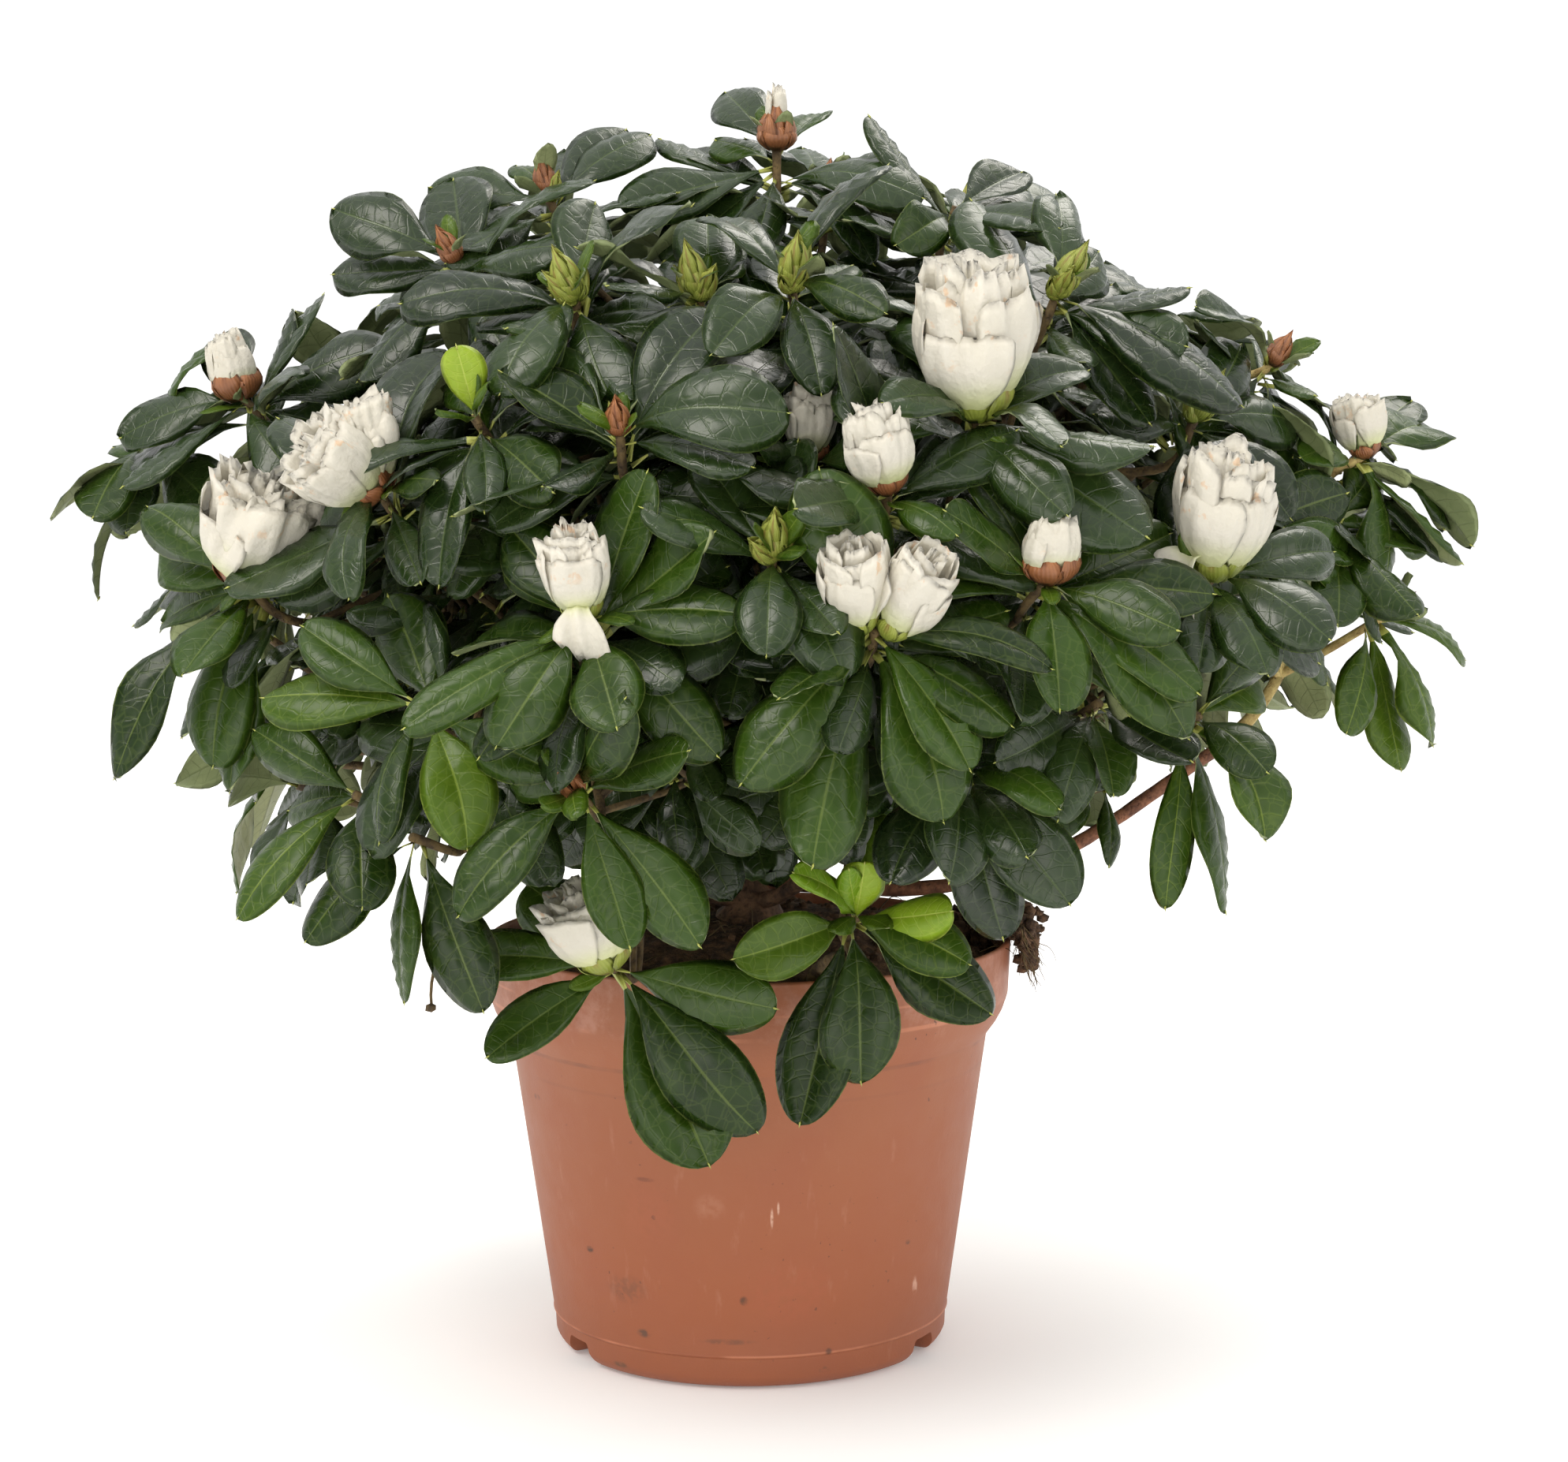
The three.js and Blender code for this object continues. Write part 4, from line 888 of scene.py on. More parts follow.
def wrinkles(across, along, roll, least, most):
    """Random waves over a petal, from -1 to 1, with a choice of how fine they are."""
    waves = np.zeros((along.shape[0], across.shape[1]))
    for _ in range(3):
        fine, drift, phase = lerp(least, most, roll()), lerp(-4, 4, roll()), 6.28 * roll()
        waves += np.sin(fine * across + drift * along + phase) / 2
    return waves


def add_petal(pile, blade, grid, look, shade):
    across, along = grid_of(blade)
    shape = (blade.rows + 1, blade.columns + 1)
    places = blade.places(np.broadcast_to(0.5 + 0.5 * across, shape), np.broadcast_to(along, shape))
    pile.add(blade.points(grid, PETAL_THICKNESS), blade.faces, look, places, shade)


def petal(pile, base, way, size, turn, half_turn, scale, profile, crumple, waves, roll, blade=PETAL):
    """A crumpled petal that follows a cup's wall, with one edge out and one in, so that petals lie in one
    another. size: width and height of the cup, scale: shares of them, waves: the folds of the whole cup."""
    side, front = standing_frame(way)
    a, v = grid_of(blade)
    lobe = np.interp(v, [0, 0.1, 0.35, 0.7, 1], [0.3, 0.5, 0.85, 1, 1])
    frill, ragged = wrinkles(a, v, roll, 5, 9), wrinkles(a, v, roll, 14, 22)
    angle = turn + a * half_turn * lobe
    folds = sum(np.sin(count * angle + drift * v + phase) for count, drift, phase in waves) / 2
    pleats = np.cos(11 * angle + 3 * v) + np.cos(17 * angle - 5 * v)
    arch = 0.03 * a**2 + 0.1 * a**6
    share = v * (1 - arch * v)
    lip = lerp(-0.12, 0.1, roll()) * np.clip((v - 0.7) / 0.3, 0, 1) ** 2
    out = scale[0] * np.interp(share, RISE, profile)
    relief = lip + 0.09 * folds * v + 0.05 * frill * v**2 + 0.024 * pleats * v + 0.02 * ragged * v**6
    out = out + crumple * relief
    radius = size[0] / 2 * np.maximum(out + OVERLAP * a * np.minimum(v * 3, 1), 0.04)
    rise = share + crumple * (0.02 * folds + 0.022 * frill + 0.01 * ragged * v**3) * v**4 - 0.5 * lip**2
    height = size[1] * scale[1] * rise
    grid = base + radius[..., None] * round_way(angle, side, front) + height[..., None] * way
    add_petal(pile, blade, grid, "petal", roll())


def flopped_petal(pile, base, way, size, turn, roll):
    """An outer petal that has bent over and hangs from the bloom's foot."""
    side, front = standing_frame(way)
    out = side * math.cos(turn) + front * math.sin(turn)
    level = np.cross(way, out)
    a, v = grid_of(PETAL)
    bend = bezier([(0.12, 0.12), (0.5, 0.3), (0.62, 0.05), (0.5, -0.36)], PETAL.rows)
    width = np.interp(v, [0, 0.4, 0.7, 0.9, 1], [0.12, 0.18, 0.34, 0.38, 0.3])
    droop = 0.14 * a * v**2
    folds, frill = wrinkles(a, v, roll, 2, 5), wrinkles(a, v, roll, 8, 14)
    reach = bend[:, :1] + 0.1 * a**2 * v + 0.1 * folds * v + 0.05 * frill * v**3
    rise = bend[:, 1:] + 0.1 * np.abs(a) ** 2.5 * v + 0.08 * folds * v + 0.06 * frill * v**3 - droop
    spread = reach[..., None] * out + (a * width)[..., None] * level
    grid = base + size[0] * spread + size[1] * rise[..., None] * way
    add_petal(pile, PETAL, grid, "petal", roll())


def bud_scale(pile, base, way, width, height, turn, half_turn, roll, look, parting):
    """A pointed bud scale that follows an egg's wall, and parts from it at the tip."""
    side, front = standing_frame(way)
    a, v = grid_of(SMALL)
    angle = turn + a * half_turn * np.interp(v, [0, 0.35, 0.7, 1], [0.7, 1, 0.75, 0.06])
    bulge = np.interp(v, [0, 0.25, 0.55, 0.8, 1], [0.45, 0.95, 1, 0.72, lerp(0.12, 0.3, roll())])
    radius = width / 2 * (bulge + parting * v**2 - 0.1 * (1 - a**2) * v)
    rise = height * (v * np.ones_like(a))
    grid = base + radius[..., None] * round_way(angle, side, front) + rise[..., None] * way
    add_petal(pile, SMALL, grid, look, roll())


def bloom(pile, base, way, width, height, form, seed, blade):
    """A double flower, or two that share a foot: the forms double and pair."""
    kind = {**PLAIN_FORM, **FORMS[form]}
    rest = (kind, dice(seed), blade)
    across = np.cross(way, (0, -1, 0))
    if form == "double":
        for lean in (-1, 1):
            off = unit(way + across * 0.3 * lean)
            one_bloom(pile, base + across * lean * width * 0.16, off, width * 0.66, height, *rest)
        return
    if form == "pair":
        other = unit(way + turned_about(across, way, 0.4))
        one_bloom(pile, base, other, width * 0.75, height, *rest)
    one_bloom(pile, base, way, width, height, *rest)


def one_bloom(pile, base, way, width, height, kind, roll, blade):
    """Outer petals round crumpled inner ones, in a calyx of scales."""
    size = (width / max(kind["profile"]), height)
    start = 6.28 * roll()
    waves = [(count, lerp(-3, 3, roll()), 6.28 * roll()) for count in (2, 3, 5)]
    shape = (kind["profile"], kind["crumple"], waves, roll, blade)
    for tier, (wide, low, high) in enumerate(TIERS):
        for i in range(kind["outer"]):
            turn = start + (i + 0.5 * tier) * FULL_TURN / kind["outer"]
            scale = (wide * lerp(0.93, 1.03, roll()), lerp(low, high, roll()))
            petal(pile, base, way, size, turn, lerp(0.9, 1.2, roll()), scale, *shape)
    for i in range(kind["inner"]):
        inside = 1 - (i + 0.7) / kind["inner"]
        scale = (0.1 + 0.7 * inside, lerp(0.88, 1.02, roll()) + 0.05 * (1 - inside))
        half_turn = lerp(1.1, 1.5, roll()) + 0.5 * (1 - inside)
        petal(pile, base, way, size, start + i * 2.4, half_turn, scale, *shape)
    if "flop" in kind:
        flopped_petal(pile, base, way, size, math.radians(kind["flop"]), roll)
    calyx = CUPPED_CALYX if "cupped" in kind else CALYX
    wide, look = max(LEAST_CALYX, width * calyx["width"]), "scale_" + kind["calyx"]
    for i in range(CALYX_SCALES):
        tall = height * lerp(*calyx["height"], roll())
        bud_scale(pile, base - way * 1.2, way, wide, tall, i * 1.257, 0.75, roll, look, calyx["parting"])


def bud(pile, base, way, width, height, look, seed, white=False):
    """A bud of overlapping scales. A bursting one shows the white petals at its tip."""
    roll = dice(seed)
    if white:
        foot, size = base + way * height * 0.3, (width * 0.7, height)
        for i in range(4):
            scale = (0.8 - 0.15 * i, 0.84 + 0.05 * i)
            petal(pile, foot, way, size, i * 2.1, 1.1, scale, SHUT, 0.5, [(3, 1, 0)], roll, PLAIN_PETAL)
    for tier, (wide, tall) in enumerate(BUD_TIERS):
        for i in range(4 - tier):
            turn = tier * 0.7 + i * FULL_TURN / (4 - tier)
            bud_scale(pile, base, way, width * wide, height * tall, turn, 0.95, roll, look, 0.05 * (2 - tier))


def bracts(leaves, base, axis, seed, count=4, lean=BRACT["lean"]):
    """Short young leaves round a bud or under a bloom."""
    roll = dice(seed)
    root = base - axis * BRACT["sunk"]
    for i in range(count):
        out = lerp(*lean, roll())
        way = unit(axis + out * turned_about(standing_frame(axis)[0], axis, i * BRACT["turn"] + roll()))
        length = lerp(*BRACT["length"], roll())
        leaf(leaves, root, way, axis, length, "fresh", roll, BRACT["half_width"], SMALL)


# Materials


class Value:
    """A number, colour or place that nodes work out. Sums with it add the nodes that work them out."""

    def __init__(self, nodes, socket):
        self.nodes, self.socket = nodes, socket

    def __add__(self, other):
        return self.nodes.maths("ADD", self, other)

    def __sub__(self, other):
        return self.nodes.maths("SUBTRACT", self, other)

    def __rsub__(self, other):
        return self.nodes.maths("SUBTRACT", other, self)

    def __mul__(self, other):
        return self.nodes.maths("MULTIPLY", self, other)

    def __abs__(self):
        return self.nodes.maths("ABSOLUTE", self)


class Nodes:
    """The nodes of a material or of the world."""

    def __init__(self, tree):
        self.tree = tree

    def feed(self, socket, value):
        """Link a value that nodes work out to a socket, or set the socket to a plain one."""
        if isinstance(value, Value):
            self.tree.links.new(value.socket, socket)
        else:
            socket.default_value = value

    def outputs(self, kind, inputs, **settings):
        """The outputs of a new node, given its inputs by name or number, and its settings."""
        node = self.tree.nodes.new(kind)
        for key, value in settings.items():
            setattr(node, key, value)
        for key, value in inputs.items():
            self.feed(node.inputs[key], value)
        return {output.name: Value(self, output) for output in node.outputs if output.enabled}

    def first(self, kind, inputs, **settings):
        return next(iter(self.outputs(kind, inputs, **settings).values()))

    def maths(self, operation, *values, clamp=False):
        return self.first("ShaderNodeMath", dict(enumerate(values)), operation=operation, use_clamp=clamp)

    def most(self, a, b):
        return self.maths("MAXIMUM", a, b)

    def split(self, vector):
        return self.outputs("ShaderNodeSeparateXYZ", {0: vector}).values()

    def between(self, value, low, high):
        """0 below low, 1 above high and smooth between them."""
        inputs = {0: value, 1: low, 2: high}
        return self.first("ShaderNodeMapRange", inputs, interpolation_type="SMOOTHSTEP")

    def outside(self, value, low, high):
        """1 below low, 0 above high and smooth between them."""
        return 1.0 - self.between(value, low, high)


class Look(Nodes):
    """A material under way, with its colour so far and where each point of its surface lies."""

    def __init__(self, name):
        self.material = bpy.data.materials.new(name)
        self.material.use_nodes = True
        super().__init__(self.material.node_tree)
        self.place = self.outputs("ShaderNodeTexCoord", {})["Object"]

    def own_place(self):
        """Across and along the leaf, petal or scale that a point is on."""
        across, along, _ = self.split(self.first("ShaderNodeUVMap", {}, uv_map="piece"))
        return across, along

    def noise(self, size, detail=3.0, roughness=0.55, place=None):
        """Noise whose blotches are about size metres across."""
        inputs = {"Vector": place or self.place, "Scale": 1 / size, "Detail": detail, "Roughness": roughness}
        return self.first("ShaderNodeTexNoise", inputs)

    def net(self, size, width):
        """The lines of a net of cells about size metres across."""
        inputs = {"Vector": self.place, "Scale": 1 / size}
        edge = self.first("ShaderNodeTexVoronoi", inputs, feature="DISTANCE_TO_EDGE")
        return self.outside(edge, 0.0, width)

    def mixed(self, factor, a, b):
        """Colour a where the factor is 0 and colour b where it is 1."""
        return self.first("ShaderNodeMix", {0: factor, 6: a, 7: b}, data_type="RGBA")

    def paint(self, mask, *colour):
        """Lay a colour over the colour so far, as far as the mask says."""
        self.colour = self.mixed(mask, self.colour, rgb(*colour))

    def finished(self, inputs, relief, strength, distance):
        """The material with its colour, its shader's other inputs and a fine relief."""
        shader = self.tree.nodes["Principled BSDF"]
        height = {"Height": relief, "Strength": strength, "Distance": distance}
        inputs = {"Base Color": self.colour, **inputs, "Normal": self.first("ShaderNodeBump", height)}
        for name, value in inputs.items():
            self.feed(shader.inputs[name], value)
        return self.material


def rgb(red, green, blue):
    """A colour given as it shows on a screen, from 0 to 255, as light."""
    shown = [c / 255 for c in (red, green, blue)]
    return (*[c / 12.92 if c <= 0.04045 else ((c + 0.055) / 1.055) ** 2.4 for c in shown], 1)


def leaf_veins(look, uneven):
    """Masks of the midrib, the side veins in their loops, and the margin, from a leaf's own places."""
    across, along = look.own_place()
    off = abs(look.maths("FRACT", across * 2.0) * 2.0 - 1.0)
    wobble = uneven * 0.06
    midrib = look.outside(off, 0.012, 0.05)
    wave = abs(look.maths("FRACT", (along + wobble) * 8.0 + 0.5) - 0.5)
    side = look.outside(wave, 0.01, 0.07) * look.outside(off, 0.66, 0.8)
    loop = look.outside(abs(off - (wobble * 2.0 + 0.75)), 0.005, 0.03) * 0.6
    return midrib, look.most(side, loop), look.between(off, 0.955, 0.99)


def leaf_look(name, deep, light, vein, roughness, rib_strength, side_strength, shine=0.35):
    """A leaf's upper or under side: green that varies from leaf to leaf, over a fine net of veins."""
    look = Look(name)
    uneven = look.noise(0.006, 2.0) - 0.5
    midrib, side, margin = leaf_veins(look, uneven)
    net = look.net(0.003, 0.09)
    shade = look.outputs("ShaderNodeAttribute", {}, attribute_name="shade")["Fac"]
    tone = look.maths("ADD", shade * 0.8, uneven * 0.7, clamp=True)
    look.colour = look.mixed(tone, rgb(*deep), rgb(*light))
    for mask in (net * NET_STRENGTH, side * side_strength, midrib * rib_strength, margin * 0.6):
        look.paint(mask, *vein)
    rough = look.maths("ADD", uneven * 0.3, roughness, clamp=True)
    relief = look.noise(0.003, 1.0) * 0.6 - net * 0.12 - look.most(side, midrib) * 0.3
    return look.finished({"Roughness": rough, "Specular IOR Level": shine}, relief, 0.5, 0.0004)


def petal_look():
    """Warm white petals, yellow-green towards the foot, with a few bruises near the edges."""
    look = Look("petal")
    _, along = look.own_place()
    look.colour = look.mixed(look.noise(0.012), rgb(214, 209, 196), rgb(204, 198, 180))
    look.paint(look.outside(along, 0.05, 0.6) * 0.8, 200, 210, 124)
    flecks = look.between(look.noise(0.004, 4.0, 0.6), 0.6, 0.68)
    look.paint(flecks * look.between(along, 0.5, 0.9) * 0.55, 212, 160, 104)
    inputs = {
        "Roughness": 0.5,
        "Subsurface Weight": 0.15,
        "Subsurface Radius": (1.0, 0.95, 0.8),
        "Subsurface Scale": 0.003,
    }
    return look.finished(inputs, look.noise(0.005) + look.noise(0.0015) * 0.3, 0.6, 0.0012)


def scale_look(name, low, high, ridge):
    """Bud scales: mottled, finely ribbed along, with a ridge of another colour down the middle."""
    look = Look(name)
    across, along = look.own_place()
    off = abs(look.maths("FRACT", across * 2.0) - 0.5)
    ribs = look.maths("SINE", across * 110.0)
    tone = (ribs * 0.06 + along) * (look.noise(0.003) + 0.4)
    look.colour = look.mixed(look.maths("ADD", tone, 0.0, clamp=True), rgb(*low), rgb(*high))
    look.paint(look.outside(off, 0.03, 0.16) * look.between(along, 0.3, 0.8) * 0.7, *ridge)
    return look.finished({"Roughness": 0.45}, ribs * 0.3 + look.noise(0.001), 0.4, 0.0003)


def bark_look(name, deep, light, grain):
    """Thin bark: streaks along the limb's own length, with darker pits."""
    look = Look(name)
    streaks = look.noise(grain, 5.0, 0.65)
    pits = look.between(look.noise(0.0012, 3.0), 0.55, 0.7)
    look.colour = look.mixed(look.between(streaks, 0.3, 0.7), rgb(*deep), rgb(*light))
    look.paint(pits * 0.6, *deep)
    return look.finished({"Roughness": 0.8}, streaks + pits * -0.5, 0.7, 0.0006)


def stalk_look():
    """Yellow-green leaf stalks and tips."""
    look = Look("stalk")
    look.colour = look.mixed(look.noise(0.004), rgb(150, 158, 66), rgb(182, 184, 100))
    return look.finished({"Roughness": 0.45}, look.noise(0.0008), 0.3, 0.0002)


def peat_look():
    """Dark crumbly peat with paler flecks."""
    look = Look("peat")
    crumbs = look.noise(0.003, 6.0, 0.7)
    look.colour = look.mixed(look.between(crumbs, 0.35, 0.75), rgb(56, 40, 29), rgb(132, 99, 71))
    look.paint(look.between(look.noise(0.0011, 2.0), 0.7, 0.76) * 0.6, 150, 118, 86)
    return look.finished({"Roughness": 0.95}, crumbs, 0.9, 0.002)


def pot_look():
    """Matt moulded plastic: mottled, with peat specks, faint scuffs, rubbed and dirty rings, a painted shadow
    line under the step, a painted highlight on the band's lower edge and a dirtier foot.
    """
    look = Look("pot")
    _, _, height = look.split(look.place)
    look.colour = look.mixed(look.between(height, 0.01, 0.1), rgb(151, 83, 48), rgb(153, 92, 60))
    look.paint(look.between(look.noise(0.018, 4.0), 0.4, 0.7) * 0.35, 148, 80, 52)
    band = look.between(height, 0.086, 0.089)
    dust = look.between(look.noise(0.007, 6.0, 0.7), 0.4, 0.68)
    look.paint(band * (dust * 0.4), 190, 142, 124)
    grime = look.between(look.noise(0.012, 5.0, 0.7), 0.5, 0.75)
    look.paint(band * (grime * 0.4), 126, 80, 64)
    smear = look.first("ShaderNodeMapping", {0: look.place, 3: (1, 1, 0.25)})
    scuffs = look.between(look.noise(0.004, 5.0, 0.6, smear), 0.6, 0.8)
    look.paint(scuffs * 0.14, 222, 172, 150)
    specks = look.between(look.noise(0.0016, 2.0, 0.4), 0.71, 0.75)
    look.paint(specks * look.between(look.noise(0.02), 0.45, 0.7) * 0.8, 74, 48, 36)
    look.paint(look.outside(height, 0.0, 0.03) * look.noise(0.008) * 0.55, 128, 74, 50)
    add_rings(look, height)
    add_marks(look)
    rough = look.noise(0.006) * 0.2 + 0.45
    relief = look.noise(0.0006, 2.0) + look.noise(0.02) * 2.0
    return look.finished({"Roughness": rough}, relief, 0.12, 0.0004)


def add_rings(look, height):
    """The rings round the pot: rubbed pale or holding dirt, with a painted shadow line under the step and a
    painted highlight on the band's lower edge.
    """
    for ring, width, strength in POT_RINGS:
        line = look.outside(abs(height - ring * MM), width * MM * 0.4, width * MM)
        line = line * look.between(look.noise(0.02), 0.4, 0.6)
        # Dark rings are dirt, and under the step a painted shadow line; pale rings are rubbed, and on the
        # band's lower edge a painted highlight.
        look.paint(line * abs(strength), *(RING_DIRT_AND_SHADOW if strength > 0 else RING_RUBBED_AND_HIGHLIGHT))


def add_marks(look):
    """The specks, smears and scratches of the pot."""
    for at, size, colour, strength in POT_MARKS:
        away = look.first("ShaderNodeVectorMath", {0: look.place, 1: Vector(at) * MM}, operation="SUBTRACT")
        shares = [1 / (length * MM) for length in (size[0], MARK_DEPTH, size[1])]
        away = look.first("ShaderNodeVectorMath", {0: away, 1: shares}, operation="MULTIPLY")
        away = look.first("ShaderNodeVectorMath", {0: away}, operation="LENGTH")
        blot = look.outside(away, 0.35, 1.0) * look.between(look.noise(0.002), 0.3, 0.6)
        look.paint(blot * strength, *colour)


def floor_look():
    """A pale floor that glows a little, as the photo's ground is blank."""
    material = bpy.data.materials.new("floor")
    material.use_nodes = True
    shader = material.node_tree.nodes["Principled BSDF"]
    shader.inputs["Base Color"].default_value = (0.92, 0.92, 0.92, 1)
    shader.inputs["Emission Color"].default_value = (1, 1, 1, 1)
    shader.inputs["Emission Strength"].default_value = 0.16
    shader.inputs["Roughness"].default_value = 0.9
    return material


LOOKS = {
    "dark": leaf_look("leaf_dark", (18, 34, 8), (38, 58, 18), (92, 110, 54), 0.28, 0.3, 0.03, 0.5),
    "mid": leaf_look("leaf_mid", (22, 40, 5), (50, 75, 13), (116, 132, 64), 0.3, 0.35, 0.05, 0.32),
    "fresh": leaf_look("leaf_fresh", (44, 68, 9), (74, 98, 19), (140, 158, 66), 0.33, 0.4, 0.1, 0.28),
    "lime": leaf_look("leaf_lime", (100, 134, 18), (146, 168, 40), (190, 200, 96), 0.38, 0.4, 0.16),
    "under": leaf_look("leaf_under", (124, 136, 92), (162, 170, 122), (98, 110, 68), 0.55, 0.5, 0.35),
    "stalk": stalk_look(),
    "petal": petal_look(),
    "scale_green": scale_look("scale_green", (108, 122, 38), (170, 176, 82), (128, 92, 48)),
    "scale_rust": scale_look("scale_rust", (102, 60, 34), (174, 114, 70), (92, 48, 28)),
    "bark": bark_look("bark", (62, 44, 32), (128, 96, 70), 0.004),
    "young": bark_look("young_wood", (58, 44, 28), (112, 92, 54), 0.003),
    "red": bark_look("red_bark", (78, 46, 32), (142, 94, 66), 0.003),
    "tan": bark_look("tan_wood", (146, 120, 70), (200, 180, 116), 0.003),
    "peat": peat_look(),
    "pot": pot_look(),
    "floor": floor_look(),
}
LEAF_LOOKS = ["dark", "mid", "fresh", "lime", "under", "stalk"]
FLOWER_LOOKS = ["petal", "scale_green", "scale_rust"]


# Pot


def lathe(name, profile, sides):
    """A closed profile of radius and height pairs turned about the upright axis, in millimetres."""
    profile = np.array(profile, float)
    angle = np.arange(sides) * FULL_TURN / sides
    count = len(profile)
    rings = np.stack([
        np.outer(np.cos(angle), profile[:, 0]),
        np.outer(np.sin(angle), profile[:, 0]),
        np.tile(profile[:, 1], (sides, 1)),
    ], -1)
    faces = []
    for i in range(0, sides * count, count):
        j = (i + count) % (sides * count)
        faces += [(i + k, j + k, j + k + 1, i + k + 1) for k in range(count - 1)]
    return welded(mesh_of(name, rings.reshape(-1, 3), faces))


def welded(mesh):
    bm = bmesh.new()
    bm.from_mesh(mesh)
    bmesh.ops.remove_doubles(bm, verts=bm.verts, dist=1e-6)
    bmesh.ops.dissolve_degenerate(bm, edges=bm.edges, dist=1e-7)
    bmesh.ops.recalc_face_normals(bm, faces=bm.faces)
    bm.to_mesh(mesh)
    bm.free()
    return mesh


def arc(centre, radius, start, end, steps):
    """Points of a quarter or other arc, with angles in degrees."""
    angles = np.radians(np.linspace(start, end, steps + 1))
    return [(centre[0] + radius * math.cos(a), centre[1] + radius * math.sin(a)) for a in angles]


def pot_profile():
    """The source's profile with its corners rounded."""
    lip = WALL / 2
    hub = [(0, 0), (HUB_RADIUS - 0.5, 0), (HUB_RADIUS, 0.4), (HUB_RADIUS + 1, PLATE_UNDER)]
    foot = [(FOOT_INNER - 0.6, PLATE_UNDER), (FOOT_INNER, 0.3), (FOOT_INNER + 0.3, 0), (FOOT_RADIUS, 0)]
    seam = [(-0.25, -0.6), (0.25, 0), (0.1, 0.5)]
    shares = [k / 8 for k in range(1, 8)]
    wall = [(lerp(SEAM_RADIUS, STEP_RADIUS, s), lerp(SEAM_HEIGHT, STEP_HEIGHT, s)) for s in shares]
    step = [(0, -0.4), (0.5, 0.3), (2.6, 3.2), (4.0, 5.8)]
    band = [(BAND_RADIUS - 0.35, BAND_LOW - 1.2), (BAND_RADIUS, BAND_LOW), (RIM_RADIUS, RIM_TOP - lip)]
    inner = [(BAND_RADIUS, BAND_LOW), (STEP_RADIUS, STEP_HEIGHT + 1), (SEAM_RADIUS, PLATE_TOP)]
    return [
        *hub,
        *foot,
        *arc((FOOT_RADIUS, 5), 5, -80, -18, 6),
        *[(SEAM_RADIUS + out, SEAM_HEIGHT + up) for out, up in seam],
        *wall,
        *[(STEP_RADIUS + out, STEP_HEIGHT + up) for out, up in step],
        *band,
        *arc((RIM_RADIUS - lip, RIM_TOP - lip), lip, 0, 180, 8),
        *[(radius - WALL, height) for radius, height in inner],
        (0, PLATE_TOP),
    ]


def notch_cutter(azimuth):
    low, high, height = NOTCHES["low"] / 2, NOTCHES["high"] / 2, NOTCHES["height"]
    right = [tuple(p) for p in bezier([(low, 0), (high + 1, 0), (high + 2, height), (high, height)], 8)]
    outline = [(low, -3), *right, *[(-x, z) for x, z in reversed(right)], (-low, -3)]
    near, far = FOOT_INNER - 6, FOOT_INNER + 10
    points = [(x, -y, z) for y in (near, far) for x, z in outline]
    n = len(outline)
    faces = [tuple(range(n)), tuple(range(2 * n - 1, n - 1, -1))]
    faces += [(i, (i + 1) % n, (i + 1) % n + n, i + n) for i in range(n)]
    mesh = mesh_of("cutter", points, faces)
    mesh.transform(Matrix.Rotation(math.radians(azimuth), 4, "Z"))
    return welded(mesh)


def drain_cutter(azimuth):
    mesh = lathe("cutter", [(0, -5), (DRAINS["radius"], -5), (DRAINS["radius"], 20), (0, 20)], 24)
    turn = Matrix.Rotation(math.radians(azimuth), 4, "Z")
    mesh.transform(turn @ Matrix.Translation((0, -DRAINS["ring"] * MM, 0)))
    return mesh


def cut(mesh, cutters):
    """The mesh with each cutter taken out of it."""
    whole = in_scene("whole", mesh)
    others = [in_scene("cutter", cutter) for cutter in cutters]
    for other in others:
        modifier = whole.modifiers.new("cut", "BOOLEAN")
        modifier.operation = "DIFFERENCE"
        modifier.object = other
    found = bpy.data.meshes.new_from_object(whole.evaluated_get(bpy.context.evaluated_depsgraph_get()))
    for thing in (whole, *others):
        bpy.data.objects.remove(thing)
    return found


def make_pot():
    cutters = [notch_cutter(NOTCHES["first"] + i * 360 / NOTCHES["count"]) for i in range(NOTCHES["count"])]
    cutters += [drain_cutter(i * 360 / DRAINS["count"]) for i in range(DRAINS["count"])]
    mesh = cut(lathe("pot_shell", pot_profile(), POT_SIDES), cutters)
    mesh.name = "pot_shell"
    mesh.materials.clear()
    mesh.materials.append(LOOKS["pot"])
    mesh.shade_smooth()
    mesh.set_sharp_from_angle(angle=SHARP_EDGE)
    place_piece("pot_shell", mesh, "pot", ["pot"])


# Peat


def peat_height(radius, azimuth):
    share = np.maximum(0, radius - PEAT_FLAT) / (RIM_RADIUS - WALL - PEAT_FLAT)
    mound = PEAT_CROWN - (PEAT_CROWN - PEAT_EDGE) * share**2
    bumps = (np.sin(5 * azimuth + radius / 6) + np.sin(3 * azimuth - radius / 9)) / 2
    fine = np.sin(17 * azimuth + radius) * np.sin(radius * 1.3 + 4 * azimuth)
    fine = fine + np.sin(31 * azimuth - radius * 2.1)
    return mound + 1.2 * bumps * np.minimum(1, 2 * share) + 0.35 * fine * np.minimum(1, share * 4)


def ball(detail):
    bm = bmesh.new()
    bmesh.ops.create_icosphere(bm, subdivisions=detail, radius=1)
    points = np.array([v.co[:] for v in bm.verts])
    faces = np.array([[v.index for v in f.verts] for f in bm.faces])
    bm.free()
    return points, faces


BALL = ball(1)


def crumb(pile, at, size, roll, look="peat"):
    points, faces = BALL
    jitter = np.array([0.7 + 0.6 * roll() for _ in range(len(points))])[:, None]
    stretch = np.array([0.7 + 0.6 * roll(), 0.7 + 0.6 * roll(), 0.6 + 0.5 * roll()])
    pile.add(at + points * jitter * stretch * size, [faces], look, np.full((faces.size, 2), 0.5), roll())


